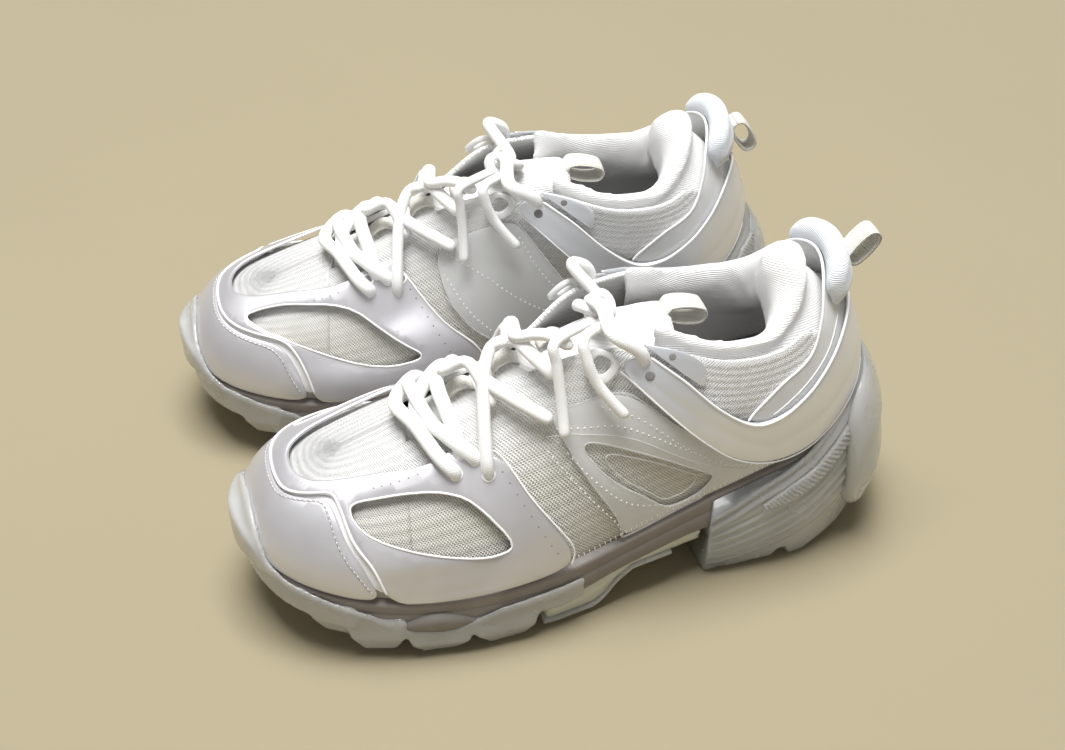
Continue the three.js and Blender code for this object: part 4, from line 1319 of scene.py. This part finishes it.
def vamp():
    """The mesh over the toes, from one side across the ridge to the other."""
    rows, columns = 80, 26
    whole = sheet_between(
        rows,
        columns,
        lambda i, j: ((VAMP_END + 0.1) * (2 * i - 1), 0.02 + 0.978 * j),
        lambda k, h: MESH_TOP - MESH_THICK + 0 * k,
        lambda k, h: MESH_TOP + 0 * k,
    )
    near_ridge = np.clip((np.linspace(0, 1, columns + 1) - 0.4) / 0.2, 0, 1)[None, :, None]
    weight = np.repeat(near_ridge, rows + 1, axis=0)
    for sheet in whole.points.reshape(2, rows + 1, columns + 1, 3):
        eased_over_ridge(sheet, weight)
    return whole


def quarter(side):
    start, end = VAMP_END - 0.15, HEEL - 0.03

    def spot(i, j):
        k = start + (end - start) * (i if side > 0 else 1 - i)
        return side * k, 0.02 + (table(QUARTER_EDGE, k) - 0.02) * j

    def high(k, h):
        """The panel under the collar is lightly padded."""
        at = np.abs(k)
        near_collar = np.clip((at - 7.8) / 0.8, 0, 1) * np.clip((11.3 - at) / 0.8, 0, 1)
        return MESH_TOP - 0.12 + 1.0 * near_collar * np.clip((h - 0.4) / 0.2, 0, 1)

    return sheet_between(90, 26, spot, lambda k, h: high(k, h) - MESH_THICK, high)


def two_tone_mesh():
    """The upper's knit: olive low down and under the film, white towards the top and the collar."""
    paint = Paint("upper_mesh", Roughness=0.65, Coat_Weight=0.25, Coat_Roughness=0.25)
    lattice = paint.turned(paint.uv, 45)
    eyelets = paint.cells(lattice, 1.0)
    olive = paint.ramp(eyelets, (0.2, (0.52, 0.50, 0.42)), (0.42, (0.78, 0.77, 0.71)))
    white = paint.ramp(eyelets, (0.16, (0.74, 0.735, 0.71)), (0.36, (0.94, 0.94, 0.93)))
    parts = paint.node("SeparateXYZ", {"Vector": paint.uv})
    patches = paint.math("MULTIPLY", paint.noise(paint.room, 60.0), 14.0)
    height = paint.math("ADD", parts.outputs["Y"], patches)
    share = paint.ramp(paint.math("DIVIDE", height, 80.0), (0.5, 0.0), (0.72, 1.0))
    paint.colour(paint.mixed(share, olive, white))
    paint.bump(paint.ramp(eyelets, (0.2, 0.0), (0.45, 1.0)), 0.0006, 0.9)
    paint.bump(paint.bands(paint.uv, 0.6, "Y", 1.5), 0.0002, 0.5)
    return paint.material


UPPER_MESH = two_tone_mesh()
put_both("vamp_mesh", vamp(), UPPER_MESH, "mesh", ["vamp_mesh"])
for side, name in ((1, "outer"), (-1, "inner")):
    node = f"{name}_quarter_mesh"
    put_both(node, quarter(side), UPPER_MESH, "mesh", [node])

# ---------- moulded overlays ----------
SEAM = [
    (3.5, 0.02), (3.27, 0.23), (2.95, 0.36), (2.65, 0.52), (2.36, 0.6), (1.8, 0.59), (0.95, 0.54),
    (0.3, 0.53), (-0.5, 0.52), (-1.3, 0.49), (-2.3, 0.45), (-2.95, 0.41), (-3.25, 0.34), (-3.46, 0.22),
    (-3.62, 0.02),
]
CENTRAL_WINDOW = [
    (4.39, 0.64), (3.5, 0.69), (2.37, 0.7), (1.38, 0.68), (0.4, 0.66), (-0.5, 0.66), (-1.5, 0.72),
    (-2.4, 0.73), (-3.3, 0.71), (-4.2, 0.66),
]
OUTER_WINDOW = [
    (2.92, 0.57), (3.84, 0.57), (4.45, 0.53), (4.96, 0.45), (5.49, 0.23), (5.06, 0.22), (4.35, 0.28),
    (3.39, 0.39), (3.0, 0.48),
]
INNER_WINDOW = [
    (-1.9, 0.57), (-2.4, 0.63), (-3.14, 0.64), (-4.3, 0.56), (-5.09, 0.32), (-5.6, 0.19), (-4.81, 0.2),
    (-3.6, 0.38), (-2.6, 0.49),
]
OUTER_ARM = [
    (4.75, 0.66), (5.07, 0.58), (5.4, 0.57), (5.75, 0.38), (6.2, 0.15), (6.15, 0.03), (5, 0.02),
    (4.3, 0.02),
]
INNER_ARM = [
    (-4.3, 0.02), (-5.5, 0.02), (-6.5, 0.04), (-6.3, 0.18), (-5.81, 0.35), (-5.36, 0.58), (-5.24, 0.67),
    (-4.8, 0.68),
]


TOE_CAP_TOP = GAP + 2.2


def toe_cap():
    line = [(k, h) for k, h in SEAM] + [(-2.4, 0.02), (-1.2, 0.02), (0, 0.02), (1.2, 0.02), (2.4, 0.02)]
    return patch(line, GAP, TOE_CAP_TOP, soft=1.2, fill=3.4)


def cage_seam():
    """The cage's front edge, just behind the toe cap's seam."""
    line = [(k * 1.02 + (0.04 if k > 0 else -0.04), h + 0.02) for k, h in SEAM]
    line[0], line[-1] = (3.62, 0.02), (-3.74, 0.02)
    return line


def recess(k, h):
    """The shallow pressed field in the cage below the outer window."""
    centre_h = 0.13 + 0.02 * (k - 4.3)
    across = np.clip(1 - np.abs(k - 4.35) / 1.0, 0, 1)
    over = np.clip(1 - np.abs(h - centre_h) / 0.1, 0, 1)
    return -0.9 * np.clip(across * 5, 0, 1) * np.clip(over * 3, 0, 1)


def cage():
    outline = [*cage_seam(), *INNER_ARM, *CENTRAL_WINDOW[::-1], *OUTER_ARM]
    return patch(outline, CAGE_LOW, CAGE_TOP, [OUTER_WINDOW, INNER_WINDOW], soft=0.9, fill=2.6, relief=recess)


SEAM_END = 0.1  # the height at which the seam's tape, thread and edge stop
# The toe cap and the cage wear the darker copy of the white plastic: painted shade.
put_both("toe_cap", toe_cap(), OVERLAY_PAINTED_SHADE, "moulded_overlay", ["toe_cap"])
put_both("forefoot_cage", cage(), OVERLAY_PAINTED_SHADE, "moulded_overlay", ["forefoot_cage"])
# The cage's rims, whiter than the cage, are painted highlight along its edges.
edges = [
    bead(OUTER_WINDOW, CAGE_TOP - 0.15, 1.0, closed=True),
    bead(INNER_WINDOW, CAGE_TOP - 0.15, 1.0, closed=True),
    bead([(3.57, SEAM_END), *cage_seam()[1:-1], (-3.7, SEAM_END)], CAGE_TOP - 0.1, 1.2),
    bead(OUTER_ARM[1:6], CAGE_TOP - 0.1, 1.0),
    bead(INNER_ARM[2:7], CAGE_TOP - 0.1, 1.0),
]
put_both("cage_edges", joined(edges), HIGHLIGHT_BEAD, "moulded_overlay")
seam_thread = [(k * 0.955, max(SEAM_END, h - 0.03)) for k, h in SEAM]
# A grey cord along the seam: painted shade in the pressed groove.
seam_shade_cord = bead(seam_thread, TOE_CAP_TOP - 0.08, 1.1, height=0.4)
put_both("toe_seam_shade_cord", seam_shade_cord, GROOVE_SHADE, "moulded_overlay")
TAPE_FOOT, TAPE_TOP = -0.3, 1.5
front_line = [(k * 0.985, h - 0.012) for k, h in SEAM]
back_line = [(k * 1.05, h + 0.045) for k, h in SEAM]
front_line[0], front_line[-1] = (3.4, SEAM_END), (-3.5, SEAM_END)
back_line[0], back_line[-1] = (3.68, SEAM_END), (-3.78, SEAM_END)
tape = patch([*front_line, *back_line[::-1]], TAPE_FOOT, TAPE_TOP, soft=0.3, fill=3)
put_both("seam_tape", tape, HIGHLIGHT_BEAD, "moulded_overlay")
seam_stitches = stitches(seam_thread, TOE_CAP_TOP + 0.1, 2.3, 1.7, 0.7)
put_both("toe_seam_thread", seam_stitches, OVERLAY_PAINTED_SHADE, "moulded_overlay")

OUTER_WING = [
    (6.2, 0.62), (6.55, 0.64), (7.2, 0.68), (7.53, 0.62), (7.88, 0.51), (8.4, 0.36), (9.0, 0.2),
    (9.4, 0.05), (9.3, 0.03), (8.2, 0.03), (7.05, 0.03), (6.95, 0.07), (6.85, 0.175), (6.58, 0.34),
    (6.38, 0.47),
]
OUTER_SLOT = [
    (6.53, 0.48), (6.66, 0.5), (7.28, 0.41), (7.7, 0.335), (8.12, 0.23), (8.36, 0.16), (8.2, 0.08),
    (7.93, 0.06), (7.62, 0.075), (7.3, 0.195), (6.95, 0.295), (6.7, 0.385),
]
INNER_WING = [
    (-5.9, 0.62), (-6.6, 0.66), (-7.2, 0.72), (-7.55, 0.5), (-7.95, 0.27), (-8.5, 0.06), (-8.0, 0.03),
    (-6.72, 0.03), (-6.68, 0.12), (-6.3, 0.25), (-5.95, 0.42),
]
outer_wing = patch(OUTER_WING, GAP, FILM_TOP, [OUTER_SLOT], soft=0.4, fill=4)
inner_wing = patch(INNER_WING, GAP, FILM_TOP, soft=0.4, fill=4)
put_both("outer_wing", outer_wing, FILM, "film", ["outer_wing"])
put_both("inner_wing", inner_wing, FILM, "film", ["inner_wing"])


def inset(outline, share):
    """An outline drawn towards its own middle."""
    p = np.asarray(outline, float)
    centre = p.mean(axis=0)
    return [tuple(q) for q in centre + (p - centre) * share]


film_edges = [
    bead(OUTER_SLOT, FILM_TOP, 0.8, closed=True),
    bead(inset(OUTER_SLOT, 0.72), FILM_TOP - 0.6, 0.7, closed=True),
    bead(OUTER_WING[:6], FILM_TOP, 0.9),
    bead(OUTER_WING[9:], FILM_TOP, 0.9),
    bead([(6.1, 0.55), (6.55, 0.53), (7.3, 0.46), (8.2, 0.26), (8.95, 0.1)], FILM_TOP, 0.6),
    bead(INNER_WING[2:6], FILM_TOP, 0.9),
    bead(INNER_WING[7:], FILM_TOP, 0.9),
]
put_both("film_edges", joined(film_edges), CLEAR, "film")
# Rows of stitches on the film: the line, and the pitch, length and width of the stitches.
FILM_ROWS = [
    ([(6.2, 0.57), (6.6, 0.55), (7.1, 0.53), (7.7, 0.43), (8.4, 0.26), (9.0, 0.12)], 2.8, 1.0, 0.8),
    ([(6.1, 0.5), (6.45, 0.33), (6.85, 0.14), (6.95, 0.05)], 3.0, 1.0, 0.8),
    ([(6.25, 0.52), (6.62, 0.35), (7.05, 0.2), (7.6, 0.1)], 3.0, 1.0, 0.8),
    ([(6.9, 0.62), (7.4, 0.55), (7.9, 0.4), (8.5, 0.22), (9.1, 0.1)], 3.2, 0.9, 0.7),
    ([(-6.1, 0.58), (-6.6, 0.45), (-7.1, 0.3), (-7.9, 0.1)], 2.8, 1.0, 0.8),
    ([(-7.2, 0.62), (-7.4, 0.45), (-7.8, 0.25), (-8.2, 0.1)], 2.8, 1.0, 0.8),
    ([(-6.0, 0.5), (-6.3, 0.32), (-6.6, 0.2)], 2.8, 1.0, 0.8),
]
film_rows = [stitches(line, FILM_TOP, pitch, length, width) for line, pitch, length, width in FILM_ROWS]
put_both("film_thread", joined(film_rows), THREAD, "film")

rand_lines = []
for side in (1, -1):
    base = [(side * k, 0.055) for k in (6.3, 7.2, 8.2, 9.2, 10.2)]
    rand_lines.append(stitches(base, FILM_TOP + 0.05, 2.6, 2.4, 0.55, across=True))
put_both("rand_thread", joined(rand_lines), THREAD, "film")

# ---------- straps, stays and blade ----------
OUTER_STRAP = [
    (7.25, 0.79), (7.7, 0.61), (8.21, 0.41), (8.7, 0.24), (9.29, 0.1), (9.9, 0.08), (10.6, 0.16),
    (11.3, 0.3), (11.9, 0.34), (11.9, 0.68), (11.1, 0.72), (10.42, 0.65), (9.9, 0.57), (9.4, 0.48),
    (8.98, 0.48), (8.5, 0.62), (8.1, 0.79), (7.75, 0.9), (7.47, 0.88),
]
STRAP_UPPER = OUTER_STRAP[9:18]
STRAP_LOWER = OUTER_STRAP[:8]
STAY = [(7.62, 0.98), (8.6, 0.97), (8.42, 0.74), (8.22, 0.8), (7.8, 0.95)]


def flipped(outline, side):
    return [(side * k, h) for k, h in outline]


def crease(k, h):
    """A shallow channel that runs along the middle of the strap."""
    middle = np.interp(np.abs(k), [7.4, 8.2, 9.2, 10.2, 11.9], [0.82, 0.56, 0.26, 0.32, 0.5])
    return -0.5 * np.exp(-(((h - middle) / 0.03) ** 2))


for side, name in ((1, "outer"), (-1, "inner")):
    # The straps and eyestays wear the brighter copy of the white plastic: painted light.
    strap = patch(flipped(OUTER_STRAP, side), STRAP_LOW, STRAP_TOP, soft=0.8, fill=2.6, relief=crease)
    put_both(f"{name}_strap", strap, STRAP_PAINTED_LIGHT, "moulded_overlay", [f"{name}_strap"])
    # The strap's rims, whiter than the strap, are painted highlight along its edges.
    rims = [
        bead(flipped(STRAP_UPPER, side), STRAP_TOP - 0.1, 1.3),
        bead(flipped(STRAP_LOWER, side), STRAP_TOP - 0.2, 0.8),
    ]
    put_both(f"{name}_strap_edges", joined(rims), HIGHLIGHT_BEAD, "moulded_overlay")
    stay = patch(flipped(STAY, side), GAP, GAP + 1.2, soft=0.5, fill=3)
    put_both(f"{name}_eyestay", stay, STRAP_PAINTED_LIGHT, "moulded_overlay", [f"{name}_eyestay"])

BLADE_EDGE = [(8.9, 0.5), (9.1, 0.58), (9.64, 0.73), (10.26, 0.8), (10.7, 0.9), (11.2, 0.99)]
BLADE_FOOT = [(11.2, 0.62), (10.4, 0.58), (9.9, 0.5), (9.3, 0.42)]


def other_side(points):
    return [(RING - k, h) for k, h in points][::-1]


blade_top = [*BLADE_EDGE, (12.0, 1.0), *other_side(BLADE_EDGE)]
blade_outline = [*blade_top, *other_side(BLADE_FOOT), (12.0, 0.62), *BLADE_FOOT]
put_both("heel_blade", patch(blade_outline, GAP, FILM_TOP, soft=0.4, fill=3), BLADE, "film", ["heel_blade"])
blade_edges = [
    bead(blade_top, FILM_TOP - 0.2, 1.3),
    bead([(9.3, 0.5), (9.9, 0.62), (10.5, 0.7), (11.1, 0.78), (12, 0.8), (12.9, 0.78)], FILM_TOP, 0.7),
]
put_both("blade_edges", joined(blade_edges), HIGHLIGHT_BEAD, "film")

# ---------- eyelets, punched holes and lace hardware ----------
STAY_TOP = GAP + 1.2
LACE_HOLES = [
    (4.77, 0.56, CAGE_TOP), (5.23, 0.51, CAGE_TOP), (-4.75, 0.62, CAGE_TOP), (-5.3, 0.56, CAGE_TOP),
    (7.65, 0.79, STRAP_TOP), (-7.6, 0.8, STRAP_TOP),
]
FREE_HOLES = [(8.1, 0.925, STAY_TOP), (-8.1, 0.925, STAY_TOP)]
LACE_HOLE, FREE_HOLE, EYELET = 2.2, 1.7, 2.5  # radii
HOLE_SUNK, HOLE_DEPTH = 0.12, 0.25
holes, rings_round = [], []
for k, h, top in LACE_HOLES:
    holes.append(disc(k, h, top - HOLE_SUNK, LACE_HOLE, HOLE_DEPTH))
    if top == CAGE_TOP:
        rings_round.append(eyelet(k, h, top, EYELET))
holes += [disc(k, h, top - HOLE_SUNK, FREE_HOLE, HOLE_DEPTH) for k, h, top in FREE_HOLES]
for side in (1, -1):
    for i in range(9):
        k, h = 5.55 + 0.07 * i, 0.5 - 0.045 * i
        holes.append(disc(side * (k - 0.12), h, CAGE_TOP - 0.08, 0.45, 0.14))
    for i in range(6):
        holes.append(disc(side * (3.4 + 0.16 * i), 0.62, CAGE_TOP - 0.08, 0.4, 0.14))
put_both("lace_holes", joined(holes), HOLE, "moulded_overlay")
put_both("eyelets", joined(rings_round), HIGHLIGHT_BEAD, "moulded_overlay")

KEEPER = [(6.72, 0.79), (7.06, 0.92), (7.36, 0.84), (7.0, 0.7)]
KEEPER_SLOT = [(6.86, 0.795), (7.06, 0.87), (7.22, 0.83), (7.0, 0.755)]
KEEPER_FOOT, KEEPER_TOP = 2.2, 4.6
keepers = []
for side in (1, -1):
    slot = flipped(KEEPER_SLOT, side)
    keepers.append(patch(flipped(KEEPER, side), KEEPER_FOOT, KEEPER_TOP, [slot], soft=0.8))
put_both("lace_keepers", joined(keepers), BLADE, "film")


# ---------- padding ----------
def beside_rim(k, a, b):
    """A point beside the collar's edge: a outward and b upward."""
    return along_ring(TOP, k) + outward(k) * a + np.array([0, 0, b])


COLLAR_START = 8
COLLAR_CLEAR = MESH_TOP - MESH_THICK - GAP


def collar_section(k):
    rear = max(0.0, 1 - abs(k - HEEL) / 3)
    clear = COLLAR_CLEAR - 1.5 * rear
    swell = min(1.0, max(0.0, (near(k) - 9.4) / 1.8))
    depth = 6.5 + 14.5 * swell * swell * (3 - 2 * swell)
    floor = foot_z(k) + 9
    low, middle = lifted(k, 0.22, clear), lifted(k, 0.45, clear)
    low_in, middle_in = lifted(k, 0.22, clear - 3.5), lifted(k, 0.45, clear - 4)
    low = np.array([low[0], low[1], floor])
    low_in = np.array([low_in[0], low_in[1], floor])
    rows = [
        low, middle, lifted(k, 0.75, clear), beside_rim(k, clear - 0.6, -5),
        beside_rim(k, clear - 0.6, 1 + rear), beside_rim(k, clear - 3, 4.2 + rear),
        beside_rim(k, clear - depth / 2, 5 + 2 * rear), beside_rim(k, clear - depth + 2, 3.6),
        beside_rim(k, clear - depth, -4), beside_rim(k, clear - depth + 2, -18), middle_in, low_in,
    ]
    return closed_curve(rows, 3)


def collar():
    return capped_sweep(collar_section, np.linspace(COLLAR_START, RING - COLLAR_START, 49))


TAB_LOW = FILM_TOP + GAP
TAB_HALF = 0.95  # the tab's half width, in stations


def tab_section(k):
    t = (k - HEEL) / TAB_HALF
    full = math.sqrt(max(0.12, 1 - 0.88 * t**6))
    foot = 0.76 + 0.1 * t * t
    out = lambda d: TAB_LOW + 0.3 + d * full
    rows = [
        lifted(k, foot, TAB_LOW + 0.3), lifted(k, 0.92, TAB_LOW + 0.3), beside_rim(k, TAB_LOW + 0.3, 1),
        beside_rim(k, out(0.4), 7.5 * full), beside_rim(k, out(4.8), 10.2 * full),
        beside_rim(k, out(9.4), 6.8 * full), beside_rim(k, out(10.6), 0), lifted(k, 0.89, out(9.4)),
        lifted(k, foot + 0.05, out(6.6)), lifted(k, foot, out(3.0)),
    ]
    return closed_curve(rows, 3)[::-1]


def heel_tab():
    return capped_sweep(tab_section, np.linspace(HEEL - TAB_HALF, HEEL + TAB_HALF, 33))


for piece in put_both("collar_padding", puffed(collar(), 2.2, 1.2), KNIT, "knit", ["collar_padding"]):
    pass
for piece in put_both("heel_tab", puffed(heel_tab(), 2.0, 1.0), TAB_KNIT, "tab_knit", ["heel_tab"]):
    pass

# ---------- tongue ----------
TONGUE_LINE = [
    (-80, 0, 75.5), (-68, 0, 81), (-46, 0, 91), (-20, 0, 104), (2, 0, 113), (24, 0, 118.5),
    (49, 0, 120.5),
]
TONGUE_HALF = [20, 22, 23, 22, 21, 20, 15.5]
TONGUE_DROP = [6, 6, 8, 10, 9, 7, 6.5]
TONGUE_BEND = (8.2, 0, 114.8)
INNER_SHARE = 0.7  # the tongue is narrower on the inner side
CHANNEL_PITCH = 9
CHANNEL_DEPTH = 0.12  # as a share of the thickness
TONGUE_STEP = 2.2
ACROSS = np.linspace(-1, 1, 15)
TONGUE_SECTION = [(u, 1) for u in ACROSS] + [(u, -1) for u in ACROSS[::-1]]


def tongue():
    """A padded tongue with sewn channels across it, thicker and rounder at its top."""
    centre = smooth_path(TONGUE_LINE, TONGUE_STEP)
    along = unit(np.gradient(centre, axis=0))
    total = len(centre) - 1
    rings = []
    for i, (point, direction) in enumerate(zip(centre, along)):
        t = i / total
        at = np.linspace(0, 1, len(TONGUE_HALF))
        half, drop = np.interp(t, at, TONGUE_HALF), np.interp(t, at, TONGUE_DROP)
        top = max(0.0, (t - 0.72) / 0.28)
        end = math.sqrt(max(0.03, 1 - max(0.0, (t - 0.95) / 0.05) ** 2))
        channel = 0.5 + 0.5 * math.cos(i * TONGUE_STEP / CHANNEL_PITCH * 2 * math.pi)
        thick = (4.6 + 1.6 * top) * end * (1 - CHANNEL_DEPTH * channel)
        half = half * (0.88 + 0.12 * end)
        normal = np.array([-direction[2], 0, direction[0]])
        section = []
        for u, face in TONGUE_SECTION:
            depth = thick / 2 * math.sqrt(max(0.02, 1 - abs(u) ** 4)) * (1 - 0.35 * u * u)
            aside = np.array([0, half * (INNER_SHARE if u > 0 else 1) * u, -drop * u * u])
            section.append(point + normal * depth * face + aside)
        rings.append(section)
    return stack(rings)


TONGUE_SHAPE = tongue()
for shoe in SHOES:
    piece = put(shoe, "tongue", TONGUE_SHAPE, KNIT, "knit", ["tongue", "tongue_top"], ride=False)
    start = shoe.place(np.array(TONGUE_BEND) - [7, 0, 2])
    end = shoe.place(np.array(TONGUE_BEND) + [5, 0, 1])
    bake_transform(piece)

# Ribbed loops of tape on the tongue carry the laces.
guides = []
for x, width in ((-44, 9), (-24, 9), (-4, 8)):
    z = np.interp(x, [p[0] for p in TONGUE_LINE], [p[2] for p in TONGUE_LINE]) + 2.6
    path = [(x - 5, 0, z - 0.4), (x - 3, 0, z + 2.4), (x + 2, 0, z + 4.4), (x + 6, 0, z + 2.6)]
    guides.append(ribbon(path, width, 1.2))
put_both("lace_guides", joined(guides), WEBBING, "webbing")


# ---------- pull loops ----------
def turned_in_plane(points, degrees, x, z):
    """Points of a loop's own plane, tilted up at the back and moved to where it is sewn."""
    c, s = math.cos(math.radians(degrees)), math.sin(math.radians(degrees))
    return [(x + px * c - pz * s, 0, z + px * s + pz * c) for px, pz in points]


# Each loop: x and z of its seated end's centre, then length, height and width.
TONGUE_LOOP = (51.6, 119.4, 20, 9, 11)
HEEL_LOOP = (134.2, 133.5, 19, 8.6, 10)
TONGUE_LOOP_TILT = -14
HEEL_LOOP_TILT = {"left": 50, "right": -60}
TAPE = 1.3


def webbing_loop(size, tilt):
    """Tape folded into a flat ring: its two ends meet where it is sewn, and its fold is at the rear."""
    x, z, length, height, width = size
    round_end = (height - TAPE) / 2
    far = length - height
    turns = np.linspace(0.5, 1.5, 5) * math.pi
    near_end = [(round_end * math.cos(a), round_end * math.sin(a)) for a in turns]
    far_end = [(far + round_end * math.cos(a), round_end * math.sin(a)) for a in turns + math.pi]
    path = [*near_end[2:], (far / 2, -round_end - 0.5), *far_end, (far / 2, round_end + 0.5), *near_end[:3]]
    return ribbon(turned_in_plane(path, tilt, x, z), width, TAPE)


tongue_loop = webbing_loop(TONGUE_LOOP, TONGUE_LOOP_TILT)
put_both("tongue_loop", tongue_loop, WEBBING, "webbing", ["tongue_loop"], body="tongue_pull")
for shoe in SHOES:
    loop = webbing_loop(HEEL_LOOP, HEEL_LOOP_TILT[shoe.name])
    put(shoe, "heel_loop", loop, WEBBING, "webbing", ["heel_loop"], body="heel_pull")


# ---------- stage ----------
FLOOR_REACH = 4.0  # metres from the middle to each edge
WORLD_COLOUR = (1, 0.98, 0.95, 1)
AIM = Vector((0, 0, 0.05))


def add_floor():
    mesh = bpy.data.meshes.new("floor")
    corners = [(-1, -1), (1, -1), (1, 1), (-1, 1)]
    mesh.from_pydata([(x * FLOOR_REACH, y * FLOOR_REACH, 0) for x, y in corners], [], [(0, 1, 2, 3)])
    floor = bpy.data.objects.new("floor", mesh)
    bpy.context.scene.collection.objects.link(floor)
    mesh.materials.append(FLOOR)


def add_light(name, at, size, energy):
    data = bpy.data.lights.new(name, "AREA")
    data.size = size
    data.energy = energy
    light = bpy.data.objects.new(name, data)
    light.location = at
    light.rotation_euler = (AIM - Vector(at)).to_track_quat("-Z", "Y").to_euler()
    bpy.context.scene.collection.objects.link(light)


def add_world(strength):
    world = bpy.data.worlds.new("studio")
    world.use_nodes = True
    world.node_tree.nodes["Background"].inputs["Color"].default_value = WORLD_COLOUR
    world.node_tree.nodes["Background"].inputs["Strength"].default_value = strength
    bpy.context.scene.world = world


bpy.context.scene.view_settings.view_transform = "Standard"
add_floor()
add_world(0.24)
add_light("overhead", (-0.1, 0.25, 3.2), 1.7, 168)
add_light("front", (-0.5, -1.7, 0.9), 1.0, 1.5)
